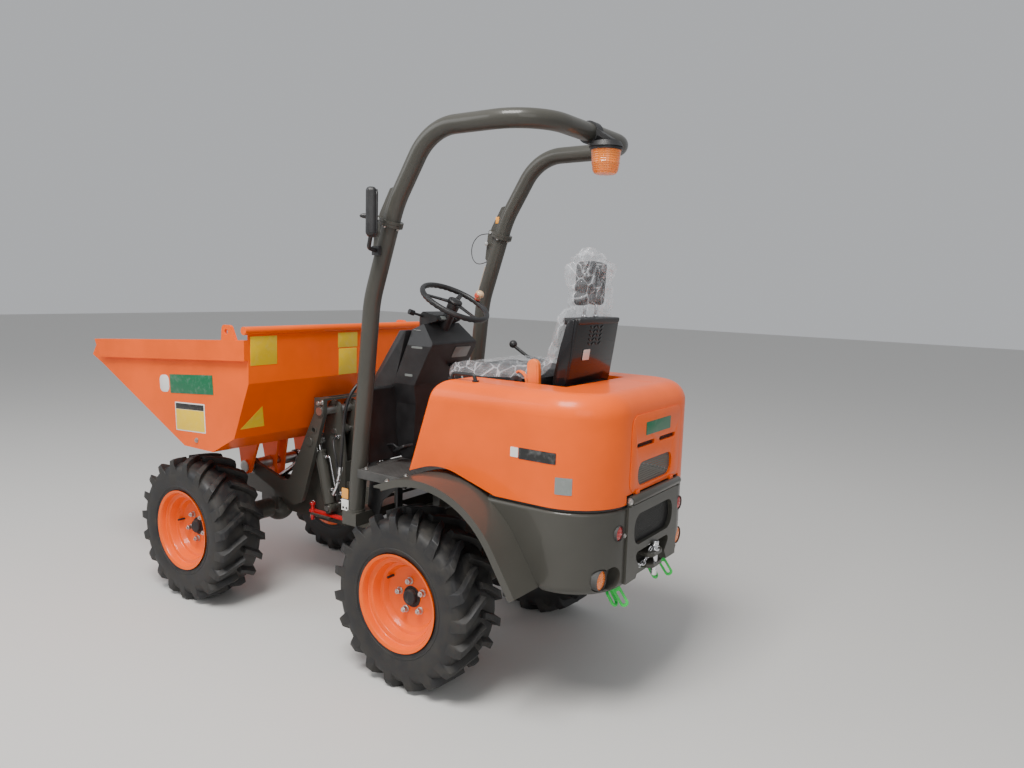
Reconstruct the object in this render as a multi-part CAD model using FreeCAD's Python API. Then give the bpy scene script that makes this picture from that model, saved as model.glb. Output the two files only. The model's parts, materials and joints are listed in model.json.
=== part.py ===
"""Articulated high-tip site dumper. Millimetres, +X forward, +Y left, +Z up.

The origin is on the ground under the middle of the machine. Each sub-part is one STEP file in parts/.
"""

import FreeCAD
import Part
import math
import os

V = FreeCAD.Vector

# Overall stance
LENGTH = 3340.0
WHEELBASE = 1540.0
REAR_OVERHANG = 890.0
TRACK = 1030.0
REAR_X = -LENGTH / 2
LIP_X = LENGTH / 2
REAR_AXLE_X = REAR_X + REAR_OVERHANG
FRONT_AXLE_X = REAR_AXLE_X + WHEELBASE

# Clearances: shaft in bore, faces that seat, joints between panels
RUNNING_GAP = 0.05
SEAT_GAP = 0.3
SEAM_GAP = 12.0

# Wheels: tyre over its lug tips, rim and hub
TYRE_RADIUS = 382.0
TYRE_WIDTH = 264.0
TYRE_FACETS = 24
TREAD_RADIUS = 348.0
TREAD_INSET = 14.0
TYRE_BULGE_RADIUS = 288.0
LUG_COUNT = 18
LUG_REACH = 56.0
LUG_WIDTH = 26.0
LUG_FOOT_WIDTH = 36.0
LUG_PAST_MIDDLE = 6.0
LUG_SHOULDER = 28.0
LUG_DROP = 20.0
BEAD_RADIUS = 196.0
BEAD_INSET = 17.0
RIM_FLANGE_RADIUS = 213.0
RIM_WIDTH = 255.0
RIM_SHEET = 9.0
DISC_INSET = 96.0
BOWL_STEPS = [
    # depth behind the outer flange, radius
    (48.0, 168.0),
    (77.0, 150.0),
    (96.0, 132.0),
]
BOWL_MOUTH = 34.0
HUB_RADIUS = 56.0
HUB_LENGTH = 70.0
SPINDLE_RADIUS = 35.0
STUD_CIRCLE_RADIUS = 70.0
STUD_COUNT = 5
NUT_RADIUS = 13.0
NUT_HEIGHT = 16.0

# Axles
AXLE_TUBE_RADIUS = 55.0
AXLE_DROP_RADIUS = 88.0
AXLE_FLANGE_RADIUS = 90.0
AXLE_FLANGE_THICKNESS = 22.0
SADDLE_HEIGHT = 20.0
SADDLE_LENGTH = 150.0

# Rear frame
FRAME_PLATE = 15.0
REAR_FRAME_HALF = 205.0
REAR_FRAME_FRONT_X = REAR_X + 1480.0
REAR_FRAME_DEPTH = 190.0
REAR_FRAME_TAIL_RISE = 60.0
BEARING_LENGTH = 40.0
POST_BEAM_X = REAR_X + 1355.0
POST_BEAM_WIDTH = 90.0
POST_BEAM_DEPTH = 60.0
ENGINE_LENGTH = 360.0
ENGINE_HALF_WIDTH = 170.0
ENGINE_REAR_X = REAR_X + 190.0
ENGINE_BOTTOM_Z = 532.0
BEARER_WIDTH = 40.0

# Centre joint: oscillation about X, steering about Z
PIVOT_X = REAR_X + 1640.0
PIVOT_Z = 520.0
KNUCKLE_SHAFT_RADIUS = 45.0
KNUCKLE_COLLAR_RADIUS = 85.0
KNUCKLE_RETAINER_RADIUS = 62.0
KNUCKLE_HEIGHT = 180.0
STEER_PIN_RADIUS = 25.0
STEER_LUG_RADIUS = 55.0
STEER_LUG_THICKNESS = 30.0

# Front frame and tower
FRONT_FRAME_FRONT_X = FRONT_AXLE_X + 250.0
FRONT_FRAME_REAR_X = REAR_X + 1800.0
FRONT_FRAME_LOW_Z = 395.0
FRONT_FRAME_STEP_X = FRONT_AXLE_X - 170.0
FRONT_FRAME_DEPTH = 105.0
FRONT_FRAME_BACK_PLATE = 40.0
TOWER_PLATE = 15.0
TOWER_INNER_HALF = 50.0
TOWER_EAR_RADIUS = 50.0
TOWER_FOOT_X = REAR_X + 2150.0
TOWER_BACK_Z = 750.0
TOWER_WAIST_X = REAR_X + 1975.0

# Lift arms, measured from their pin on the tower
ARM_PIVOT_X = REAR_X + 1888.0
ARM_PIVOT_Z = 1030.0
ARM_INNER_HALF = 142.0
ARM_PLATE = 24.0
ARM_WIDTH = 62.0
ARM_FRONT_GROWTH = 12.0
ARM_TOP_RISE = 70.0
ARM_BRACE = 12.0
BRACE_BORDER = 15.0
BRACE_WINDOW_HALF = 95.0
ARM_KNEE_DX = 205.0
ARM_KNEE_DZ = -505.0
ARM_TIP_DX = 572.0
ARM_TIP_DZ = -380.0
ARM_PIN_RADIUS = 22.0
ARM_BOSS_RADIUS = 34.0
ARM_HOLE_RADIUS = 14.0
ARM_HOLE_DX = 47.0
ARM_HOLE_DZ = -109.0

# Cylinders, their pins measured from the arm's pin or, for the tipping eye, from the arm's tip
LIFT_BASE_DX = -15.0
LIFT_BASE_DZ = -535.0
LIFT_EYE_DX = 79.0
LIFT_EYE_DZ = -174.0
LIFT_CYLINDER_Y = 105.0
LIFT_BARREL_RADIUS = 30.0
LIFT_BARREL_LENGTH = 318.0
LIFT_ROD_INNER_END = 48.0
TIP_LINK_DX = -1.0
TIP_LINK_DZ = -119.0
TIP_BARREL_RADIUS = 34.0
TIP_BARREL_LENGTH = 430.0
TIP_ROD_INNER_END = 250.0
BARREL_SHOULDER = 10.0
ROD_RADIUS = 15.0
EYE_WIDTH = 40.0
EYE_RADIUS = 30.0
CYLINDER_PIN_RADIUS = 15.0
PIN_HEAD = 8.0

# Skip, its outline in the X-Z plane from the rear rim round below to the lip
SKIP_HALF_WIDTH = 602.0
SKIP_SHEET = 6.0
SKIP_REAR_X = REAR_X + 1902.0
SKIP_REAR_TOP_Z = 1490.0
SKIP_SIDE_REAR_Z = 1425.0
SKIP_SIDE_FRONT_X = LIP_X - 70.0
SKIP_SIDE_FRONT_Z = 1345.0
SKIP_CREASE_Z = 1212.0
SKIP_HEEL_X = REAR_X + 2020.0
SKIP_HEEL_Z = 925.0
SKIP_FLOOR_REAR_X = REAR_X + 2195.0
SKIP_FLOOR_FRONT_X = REAR_X + 2440.0
SKIP_FLOOR_Z = 833.0
SKIP_BREAK_X = REAR_X + 2515.0
SKIP_BREAK_Z = 868.0
SKIP_SLOPE_TOP_X = LIP_X - 110.0
SKIP_SLOPE_TOP_Z = 1205.0
SKIP_LIP_Z = 1250.0
RIM_BAND_DEPTH = 100.0
RIM_BAND_OUT = 24.0
RIM_ROLL_RADIUS = 20.0
SKIP_LUG_Y = 190.0
SKIP_LUG_PLATE = 16.0
SKIP_LUG_RADIUS = 45.0
SKIP_EYE_LUG_Y = 22.0
LIFTING_EYE_X = REAR_X + 2039.0
LIFTING_EYE_Z = 1458.0
LIFTING_EYE_RADIUS = 14.0
LIFTING_LUG_PLATE = 14.0
LIFTING_LUG_RADIUS = 34.0
LIFTING_LUG_BASE = 120.0
PIVOT_COLLAR_RADIUS = 34.0
PIVOT_COLLAR_GAP = 5.5

# Rear body: counterweight, bonnet and fenders
BODY_HALF_WIDTH = 485.0
BODY_CORNER_RADIUS = 240.0
WEIGHT_REAR_INSET = 37.0
WEIGHT_TOP_Z = 874.0
WEIGHT_BOTTOM_Z = 540.0
WEIGHT_FRONT_X = REAR_X + 545.0
WEIGHT_WALL = 55.0
WEIGHT_TOP_ROUND = 16.0
WEIGHT_BOTTOM_ROUND = 40.0
REAR_PLATE_HALF = 245.0
REAR_PLATE_OUT = 10.0
REAR_PLATE_LOW_Z = 560.0
GRILLE_HALF_WIDTH = 187.0
GRILLE_LOW_Z = 700.0
GRILLE_HIGH_Z = 830.0
GRILLE_CORNER = 55.0
GRILLE_SHEET = 4.0
HITCH_HALF_WIDTH = 180.0
HITCH_NECK_HALF = 125.0
HITCH_TOP_Z = 670.0
HITCH_NECK_Z = 602.0
TAIL_LAMP_Y = 291.0
TAIL_LAMP_Z = 779.0
TAIL_LAMP_RADIUS = 29.0
MARKER_LAMP_Y = 368.0
MARKER_LAMP_Z = 603.0
MARKER_LAMP_RADIUS = 38.0
TUNNEL_RADIUS = 46.0
TUNNEL_SPREAD = 48.0
LAMP_BACK_WALL = 25.0
HINGE_BAR_RADIUS = 12.0
HINGE_BAR_Z = 898.0
HINGE_BAR_HALF = 240.0
HINGE_KNUCKLE_RADIUS = 18.0
HINGE_KNUCKLE_WIDTH = 30.0
HINGE_KNUCKLE_Y = 165.0
BONNET_SHEET = 7.0
BONNET_SKIRT = 174.0
BONNET_TOP_Z = 1325.0
ENGINE_TOP_Z = BONNET_TOP_Z - 205.0
BONNET_FRONT_LOW_X = REAR_X + 980.0
BONNET_FRONT_LOW_Z = 912.0
BONNET_FRONT_TOP_X = REAR_X + 847.0
BONNET_ARCH_X = REAR_AXLE_X - 90.0
BONNET_ARCH_Z = 975.0
BONNET_ARCH_RADIUS = 300.0
BONNET_KINK_X = REAR_X + 507.0
BONNET_TOP_ROUND = 88.0
BONNET_SIDE_ROUND = 28.0
RECESS_HALF_WIDTH = 262.0
RECESS_REAR_X = REAR_X + 325.0
RECESS_Z = BONNET_TOP_Z - 55.0
BONNET_GRILLE_HALF = 165.0
BONNET_GRILLE_LOW_Z = 942.0
BONNET_GRILLE_HIGH_Z = 1040.0
SLOT_INNER_Y = 25.0
SLOT_OUTER_Y = 185.0
SLOT_Z = 1111.0
SLOT_HEIGHT = 18.0
FENDER_SHEET = 8.0
FENDER_INNER_Y = 400.0
FENDER_OUTER_Y = 650.0
FENDER_LIP = 32.0
FENDER_FLOOR_LAP = 17.0
FENDER_CROWN_X = REAR_AXLE_X - 295.0
FENDER_CROWN_Z = 1034.0
FENDER_ARCH_RADIUS = 455.0
FENDER_END_X = REAR_AXLE_X - 605.0
FENDER_END_Z = 560.0

# Rear hitch and lashing eyes
HITCH_PLATE = 15.0
HITCH_PLATE_HALF = 60.0
HITCH_LOW_Z = 578.0
HITCH_HIGH_Z = 640.0
TOW_PIN_RADIUS = 12.5
TOW_PIN_INSET = 16.0
TOW_PIN_LOW_Z = 536.0
TOW_PIN_HIGH_Z = 668.0
LASHING_EYE_Y = 185.0
LASHING_EYE_X = REAR_X + 117.0
LASHING_EYE_Z = 487.0
LASHING_LOOP_HALF = 17.0
LASHING_LOOP_LENGTH = 34.0
LASHING_LEAN = 35.0
LASHING_BAR_RADIUS = 6.5

# Driver's place
FLOOR_Z = 865.0
FLOOR_PLATE = 12.0
FLOOR_FRONT_X = REAR_X + 1290.0
FLOOR_NOSE_X = REAR_X + 1330.0
FLOOR_NOSE_HALF = 330.0
FLOOR_REAR_X = REAR_X + 998.0
FLOOR_HALF_WIDTH = 470.0
CONSOLE_HALF_WIDTH = 175.0
CONSOLE_WAIST = 22.0
CONSOLE_CROWN = 45.0
CONSOLE_CHAMFER = 38.0
CONSOLE_FRONT_X = REAR_X + 1408.0
POD_HALF_WIDTH = 105.0
WHEEL_HUB_X = REAR_X + 1119.0
WHEEL_HUB_Z = 1637.0
COLUMN_TILT = 28.0
STEERING_RADIUS = 168.0
STEERING_RIM_RADIUS = 13.0
STEERING_BOSS_RADIUS = 30.0
STEERING_BOSS_LENGTH = 45.0
STEERING_SPOKE_RADIUS = 9.0
KNOB_RADIUS = 22.0
COLUMN_RADIUS = 28.0
COLUMN_LENGTH = 230.0
STALK_RADIUS = 6.0

# Seat
SEAT_BASE_HEIGHT = 20.0
SEAT_FRONT_X = REAR_X + 950.0
SEAT_REAR_X = REAR_X + 470.0
SEAT_HALF_WIDTH = 225.0
SEAT_CUSHION_TOP_Z = BONNET_TOP_Z + 45.0
SEAT_BACK_HALF_WIDTH = 190.0
HEADREST_HALF_WIDTH = 110.0
SEAT_BACK_TOP_Z = SEAT_CUSHION_TOP_Z + 230.0
HEADREST_LOW_Z = SEAT_BACK_TOP_Z + 40.0
HEADREST_HIGH_Z = HEADREST_LOW_Z + 210.0
SEAT_BACK_REACH = 100.0
HANDLE_REAR_X = REAR_X + 680.0
HANDLE_LENGTH = 128.0
HANDLE_RISE = 26.0
LEVER_X = REAR_X + 760.0
LEVER_OUT = 22.0
LEVER_GRIP_RADIUS = 20.0

# Roll bar and its folding joint
POST_Y = 418.0
POST_RADIUS = 39.0
POST_WALL = 5.0
POST_BEND_X = REAR_X + 1261.0
POST_BEND_RADIUS = 500.0
JOINT_X = REAR_X + 1150.0
HOOP_NECK = 90.0
HOOP_SHOULDER_X = REAR_X + 935.0
HOOP_TOP_Z = 2372.0
JOINT_Z = HOOP_TOP_Z - 393.0
POST_BEND_Z = JOINT_Z - 339.0
HOOP_REAR_X = REAR_X + 408.0
HOOP_BEND_RADIUS = 240.0
HOOP_CORNER_RADIUS = 200.0
JOINT_GAP = 1.0
FLANGE_RADIUS = 54.0
FLANGE_THICKNESS = 12.0
FOLD_PIN_OFFSET = 62.0
FOLD_PIN_RADIUS = 8.0
FOLD_KNUCKLE_RADIUS = 14.0
FOLD_EAR = 14.0
FOLD_CHEEK = 11.0
FOLD_PLAY = 2.0
FOLD_GUSSET_LENGTH = 150.0

# Mirror, beacon and lock bar
MIRROR_X = REAR_X + 1134.0
MIRROR_Y = 555.0
MIRROR_Z = JOINT_Z + 33.0
MIRROR_THICKNESS = 45.0
MIRROR_WIDTH = 130.0
MIRROR_HEIGHT = 203.0
MIRROR_TURN = 43.0
MIRROR_ROUND = 18.0
MIRROR_ARM_RADIUS = 9.0
BEACON_X = REAR_X + 332.0
BEACON_Z = HOOP_TOP_Z - 64.0
BEACON_CAP_RADIUS = 74.0
BEACON_CAP_HEIGHT = 22.0
BEACON_TOP_RADIUS = 64.0
BEACON_LOW_RADIUS = 50.0
BEACON_HEIGHT = 112.0
BEACON_CLAMP_HALF = 25.0
BEACON_CLAMP_WALL = 8.0
LOCK_BAR_Y = 100.0
LOCK_BAR_REAR_X = REAR_X + 1730.0
LOCK_BAR_FRONT_X = REAR_X + 2005.0
LOCK_BAR_Z = 455.0

os.makedirs("parts", exist_ok=True)

AXLE_Z = TYRE_RADIUS
WHEEL_Y = TRACK / 2
FRAME_BOTTOM_Z = AXLE_Z + AXLE_TUBE_RADIUS + SADDLE_HEIGHT
FRAME_TOP_Z = FRAME_BOTTOM_Z + REAR_FRAME_DEPTH
WEIGHT_REAR_X = REAR_X + WEIGHT_REAR_INSET
WEIGHT_INNER_X = WEIGHT_REAR_X + WEIGHT_WALL
REAR_FRAME_REAR_X = WEIGHT_INNER_X + SEAT_GAP
TOWER_OUTER_HALF = TOWER_INNER_HALF + TOWER_PLATE
ARM_OUTER_HALF = ARM_INNER_HALF + ARM_PLATE
ARM_TIP_X = ARM_PIVOT_X + ARM_TIP_DX
ARM_TIP_Z = ARM_PIVOT_Z + ARM_TIP_DZ
LIFT_EYE = (ARM_PIVOT_X + LIFT_EYE_DX, ARM_PIVOT_Z + LIFT_EYE_DZ)
LIFT_BASE = (ARM_PIVOT_X + LIFT_BASE_DX, ARM_PIVOT_Z + LIFT_BASE_DZ)
TIP_BASE = (ARM_PIVOT_X + TIP_LINK_DX, ARM_PIVOT_Z + TIP_LINK_DZ)
TIP_EYE = (ARM_TIP_X + TIP_LINK_DX, ARM_TIP_Z + TIP_LINK_DZ)

X = V(1, 0, 0)
Y = V(0, 1, 0)
Z = V(0, 0, 1)


def box(x0, x1, y0, y1, z0, z1):
    return Part.makeBox(x1 - x0, y1 - y0, z1 - z0, V(x0, y0, z0))


def rod(start, end, radius):
    along = end - start
    return Part.makeCylinder(radius, along.Length, start, along)


def cross_rod(x, z, radius, y0, y1):
    return rod(V(x, y0, z), V(x, y1, z), radius)


def long_rod(x0, x1, y, z, radius):
    return rod(V(x0, y, z), V(x1, y, z), radius)


def tube(start, end, radius, bore):
    along = end - start
    return rod(start, end, radius).cut(rod(start - along, end + along, bore))


def rounded_face(corners):
    """A face inside a closed outline of (point, radius) corners, tangent arcs at those whose radius isn't 0."""
    count = len(corners)
    arcs = []
    for n, (here, radius) in enumerate(corners):
        into = (here - corners[n - 1][0]).normalize()
        out = (corners[(n + 1) % count][0] - here).normalize()
        if not radius:
            arcs.append((here, None, here))
            continue
        half_turn = into.getAngle(out) / 2
        reach = radius * math.tan(half_turn)
        bisector = (out - into).normalize()
        middle = here + bisector * (radius / math.cos(half_turn) - radius)
        arcs.append((here - into * reach, middle, here + out * reach))
    edges = []
    for n, (start, middle, end) in enumerate(arcs):
        if middle is not None:
            edges.append(Part.Arc(start, middle, end).toShape())
        after = arcs[(n + 1) % count][0]
        if (after - end).Length > 0.001:
            edges.append(Part.LineSegment(end, after).toShape())
    return Part.Face(Part.Wire(edges))


def prism(outline, place, along):
    corners = [(place(*point[:2]), point[2] if len(point) > 2 else 0.0) for point in outline]
    return rounded_face(corners).extrude(along)


def oblong(a0, a1, b0, b1, radius):
    """The four corners of a rectangle, each rounded."""
    return [(a0, b0, radius), (a1, b0, radius), (a1, b1, radius), (a0, b1, radius)]


def plate_x(outline, x0, x1):
    """A plate whose outline is (y, z) or (y, z, corner radius) points."""
    return prism(outline, lambda y, z: V(x0, y, z), X * (x1 - x0))


def plate_y(outline, y0, y1):
    """A plate whose outline is (x, z) or (x, z, corner radius) points."""
    return prism(outline, lambda x, z: V(x, y0, z), Y * (y1 - y0))


def plate_z(outline, z0, z1):
    """A plate whose outline is (x, y) or (x, y, corner radius) points."""
    return prism(outline, lambda x, y: V(x, y, z0), Z * (z1 - z0))


def fuse(*shapes):
    whole = shapes[0].fuse(list(shapes[1:]))
    return whole.removeSplitter()


def mirrored(shape):
    return shape.mirror(V(0, 0, 0), Y)


def both_sides(shape):
    return [shape, mirrored(shape)]


def group(*shapes):
    return Part.makeCompound(list(shapes))


def placed(shape, x, y, z):
    copy = shape.copy()
    copy.translate(V(x, y, z))
    return copy


def pipe(points, radii, radius):
    """A round bar along straight runs joined by tangent arcs, one radius for each inner point."""
    edges = []
    start = points[0]
    for here, after, bend in zip(points[1:-1], points[2:], radii):
        into = (here - start).normalize()
        out = (after - here).normalize()
        half_turn = into.getAngle(out) / 2
        reach = bend * math.tan(half_turn)
        middle = here + (out - into).normalize() * (bend / math.cos(half_turn) - bend)
        arc_start = here - into * reach
        arc_end = here + out * reach
        edges.append(Part.LineSegment(start, arc_start).toShape())
        edges.append(Part.Arc(arc_start, middle, arc_end).toShape())
        start = arc_end
    edges.append(Part.LineSegment(start, points[-1]).toShape())
    ring = Part.Wire(Part.makeCircle(radius, points[0], points[1] - points[0]))
    return Part.Wire(edges).makePipeShell([ring], True, False)


def hollow_pipe(points, radii, radius, wall):
    return pipe(points, radii, radius).cut(pipe(points, radii, radius - wall))


def revolve_y(profile):
    """Turns a closed (y, radius) outline about the Y axis."""
    corners = [V(r, y, 0) for y, r in profile]
    face = Part.Face(Part.makePolygon(corners + corners[:1]))
    return face.revolve(V(0, 0, 0), Y, 360)


def edges_on(shape, test):
    """The edges whose middle passes the test."""
    found = []
    for edge in shape.Edges:
        middle = edge.valueAt((edge.FirstParameter + edge.LastParameter) / 2)
        if test(middle):
            found.append(edge)
    return found


nodes = {}


# Wheels and axles
def faceted_ring(profile, facets):
    """A closed (y, radius) outline carried round the Y axis in flat facets."""
    faces = []
    for n in range(facets):
        turns = [2 * math.pi * (n + step) / facets for step in (0, 1)]
        for (y0, r0), (y1, r1) in zip(profile, profile[1:] + profile[:1]):
            near = [V(r * math.cos(turns[0]), y, r * math.sin(turns[0])) for y, r in ((y0, r0), (y1, r1))]
            far = [V(r * math.cos(turns[1]), y, r * math.sin(turns[1])) for y, r in ((y1, r1), (y0, r0))]
            faces.append(Part.Face(Part.makePolygon(near + far + near[:1])))
    solid = Part.Solid(Part.makeShell(faces))
    if solid.Volume < 0:
        solid.reverse()
    return solid


def tyre_lug():
    """The bar at the top of the tyre's +Y half: it slopes back from past the middle to the sidewall."""
    top = math.sqrt(TYRE_RADIUS ** 2 - LUG_REACH ** 2)
    end = TYRE_WIDTH / 2 - 4
    plan = [
        (LUG_REACH, -LUG_PAST_MIDDLE),
        (LUG_REACH - LUG_WIDTH, -LUG_PAST_MIDDLE),
        (-LUG_REACH - 4, end),
        (-LUG_REACH - 4 + LUG_FOOT_WIDTH, end),
    ]
    side = [
        (-LUG_PAST_MIDDLE, TREAD_RADIUS - 30),
        (-LUG_PAST_MIDDLE, top),
        (end - LUG_SHOULDER, top),
        (end, top - LUG_DROP),
        (end, TYRE_BULGE_RADIUS + 15),
        (end - LUG_SHOULDER, TYRE_BULGE_RADIUS + 15),
    ]
    return plate_z(plan, 0, TYRE_RADIUS).common(plate_x(side, -2 * LUG_REACH, 2 * LUG_REACH))


def tyre():
    """Faceted carcass with two staggered rows of lugs, one lug's corner straight below the axle."""
    half = TYRE_WIDTH / 2 - 1
    bead = RIM_WIDTH / 2 - BEAD_INSET
    outer = [
        # y, radius
        (bead, BEAD_RADIUS / math.cos(math.pi / TYRE_FACETS)),
        (half, TYRE_BULGE_RADIUS),
        (half - TREAD_INSET, TREAD_RADIUS),
    ]
    carcass = faceted_ring(outer + [(-y, radius) for y, radius in reversed(outer)], TYRE_FACETS)
    corner = math.degrees(math.asin(LUG_REACH / TYRE_RADIUS))
    bar = tyre_lug()
    lugs = []
    for n in range(LUG_COUNT):
        for row, stagger in ((bar, 0.0), (mirrored(bar), 0.5)):
            copy = row.copy()
            copy.rotate(V(0, 0, 0), Y, 180.0 - corner + 360.0 * (n + stagger) / LUG_COUNT)
            lugs.append(copy)
    return fuse(carcass, *lugs)


def rim():
    """Flanged drum with a deep disc, its hub and the wheel nuts, axis along Y and dish towards +Y."""
    half = RIM_WIDTH / 2
    outer = BEAD_RADIUS - SEAT_GAP
    inner = BEAD_RADIUS - RIM_SHEET
    bore = SPINDLE_RADIUS + RUNNING_GAP
    disc_y = half - DISC_INSET
    bowl = [(half - depth, radius) for depth, radius in BOWL_STEPS]
    behind = [(y - RIM_SHEET, radius + 2) for y, radius in reversed(bowl)]
    profile = [
        # y, radius
        (-half, RIM_FLANGE_RADIUS),
        (-half + RIM_SHEET, RIM_FLANGE_RADIUS),
        (-half + RIM_SHEET + 6, outer),
        (half - RIM_SHEET - 6, outer),
        (half - RIM_SHEET, RIM_FLANGE_RADIUS),
        (half, RIM_FLANGE_RADIUS),
        (half - 8, inner + 3),
        (half - BOWL_MOUTH, inner),
        *bowl,
        (disc_y, bore),
        (disc_y - HUB_LENGTH, bore),
        (disc_y - HUB_LENGTH, HUB_RADIUS),
        (disc_y - RIM_SHEET, HUB_RADIUS),
        *behind,
        (half - BOWL_MOUTH - RIM_SHEET, inner),
        (-half + 8, inner),
    ]
    nuts = []
    for n in range(STUD_COUNT):
        angle = 2 * math.pi * n / STUD_COUNT
        foot = V(STUD_CIRCLE_RADIUS * math.cos(angle), disc_y - 2, STUD_CIRCLE_RADIUS * math.sin(angle))
        nuts.append(Part.makeCylinder(NUT_RADIUS, NUT_HEIGHT + 2, foot, Y))
    return fuse(revolve_y(profile), *nuts)


def axle(frame_half):
    """Housing tube with its centre drop, end flanges, spindles and the saddles under the frame plates."""
    disc_y = WHEEL_Y + RIM_WIDTH / 2 - DISC_INSET
    tube_half = disc_y - HUB_LENGTH - 10
    spindle_end = disc_y - 4
    half = SADDLE_LENGTH / 2
    pieces = [
        cross_rod(0, 0, AXLE_TUBE_RADIUS, -tube_half, tube_half),
        cross_rod(0, 0, SPINDLE_RADIUS, -spindle_end, spindle_end),
        Part.makeSphere(AXLE_DROP_RADIUS),
    ]
    pieces += both_sides(cross_rod(0, 0, AXLE_FLANGE_RADIUS, tube_half - AXLE_FLANGE_THICKNESS, tube_half))
    saddle_top = AXLE_TUBE_RADIUS + SADDLE_HEIGHT
    pieces += both_sides(box(-half, half, frame_half - FRAME_PLATE, frame_half, 0, saddle_top))
    return fuse(*pieces)


WHEELS = [
    # name, x, side
    ("front_left", FRONT_AXLE_X, 1),
    ("front_right", FRONT_AXLE_X, -1),
    ("rear_left", REAR_AXLE_X, 1),
    ("rear_right", REAR_AXLE_X, -1),
]
tyre_shape = tyre()
rim_shape = rim()
for wheel_name, wheel_x, side in WHEELS:
    rim_here = rim_shape if side > 0 else mirrored(rim_shape)
    nodes["tyre_" + wheel_name] = placed(tyre_shape, wheel_x, side * WHEEL_Y, AXLE_Z)
    nodes["rim_" + wheel_name] = placed(rim_here, wheel_x, side * WHEEL_Y, AXLE_Z)
nodes["front_axle"] = placed(axle(TOWER_OUTER_HALF), FRONT_AXLE_X, 0, AXLE_Z)
nodes["rear_axle"] = placed(axle(REAR_FRAME_HALF), REAR_AXLE_X, 0, AXLE_Z)


# Rear frame and centre joint
def rear_frame():
    """Two side plates with cross members, engine bearers, floor posts and the bearing of the centre joint."""
    low = FRAME_BOTTOM_Z
    high = FRAME_TOP_Z
    rear = REAR_FRAME_REAR_X
    front = REAR_FRAME_FRONT_X
    inner = REAR_FRAME_HALF - FRAME_PLATE
    side = [
        (rear, low + REAR_FRAME_TAIL_RISE),
        (rear + REAR_FRAME_TAIL_RISE, low + REAR_FRAME_TAIL_RISE, 40),
        (rear + 3 * REAR_FRAME_TAIL_RISE, low, 80),
        (front, low),
        (front, high),
        (rear, high),
    ]
    pieces = both_sides(plate_y(side, inner, REAR_FRAME_HALF))
    cross_members = [
        # x, length, bottom z, top z
        (rear, FRAME_PLATE, low + REAR_FRAME_TAIL_RISE, high),
        (ENGINE_REAR_X + 20, BEARER_WIDTH, low + 20, ENGINE_BOTTOM_Z),
        (ENGINE_REAR_X + ENGINE_LENGTH - 60, BEARER_WIDTH, low + 20, ENGINE_BOTTOM_Z),
        (ENGINE_REAR_X + ENGINE_LENGTH + 40, FRAME_PLATE, low + REAR_FRAME_TAIL_RISE, high),
        (FLOOR_REAR_X + 52, FRAME_PLATE, low + REAR_FRAME_TAIL_RISE, high),
        (front - BEARING_LENGTH, BEARING_LENGTH, low - 20, high),
    ]
    for x, length, z0, z1 in cross_members:
        pieces.append(box(x, x + length, -inner, inner, z0, z1))
    beam_front = POST_BEAM_X + POST_BEAM_WIDTH / 2
    beam_half = POST_Y + POST_BEAM_WIDTH / 2
    pieces.append(box(beam_front - POST_BEAM_WIDTH, beam_front, -beam_half, beam_half,
                      FRAME_TOP_Z - POST_BEAM_DEPTH, FRAME_TOP_Z))
    for post_x in (FLOOR_REAR_X + 25, FLOOR_FRONT_X - 20):
        pieces += both_sides(box(post_x, post_x + BEARER_WIDTH, inner, REAR_FRAME_HALF,
                                 high, FLOOR_Z - FLOOR_PLATE))
    bore = rod(V(front - 200, 0, PIVOT_Z), V(front + 20, 0, PIVOT_Z), KNUCKLE_SHAFT_RADIUS + RUNNING_GAP)
    return fuse(*pieces).cut(bore)


def knuckle():
    """Shaft that turns in the rear frame, with a block bored for the steering pin."""
    front = REAR_FRAME_FRONT_X
    half = KNUCKLE_HEIGHT / 2
    back = front - BEARING_LENGTH
    shaft = rod(V(back - 35, 0, PIVOT_Z), V(PIVOT_X, 0, PIVOT_Z), KNUCKLE_SHAFT_RADIUS)
    collar = rod(V(front + SEAT_GAP, 0, PIVOT_Z), V(front + 30, 0, PIVOT_Z), KNUCKLE_COLLAR_RADIUS)
    width = KNUCKLE_SHAFT_RADIUS
    block = box(front + 30, PIVOT_X, -width, width, PIVOT_Z - half, PIVOT_Z + half)
    eye = rod(V(PIVOT_X, 0, PIVOT_Z - half), V(PIVOT_X, 0, PIVOT_Z + half), STEER_LUG_RADIUS)
    retainer = rod(V(back - 35, 0, PIVOT_Z), V(back - SEAT_GAP, 0, PIVOT_Z), KNUCKLE_RETAINER_RADIUS)
    bore = rod(V(PIVOT_X, 0, 0), V(PIVOT_X, 0, 2 * PIVOT_Z), STEER_PIN_RADIUS + RUNNING_GAP)
    return fuse(shaft, collar, block, eye, retainer).cut(bore)


nodes["rear_frame"] = rear_frame()
nodes["engine"] = box(ENGINE_REAR_X, ENGINE_REAR_X + ENGINE_LENGTH, -ENGINE_HALF_WIDTH, ENGINE_HALF_WIDTH,
                      ENGINE_BOTTOM_Z + SEAT_GAP, ENGINE_TOP_Z)
nodes["centre_knuckle"] = knuckle()


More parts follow.
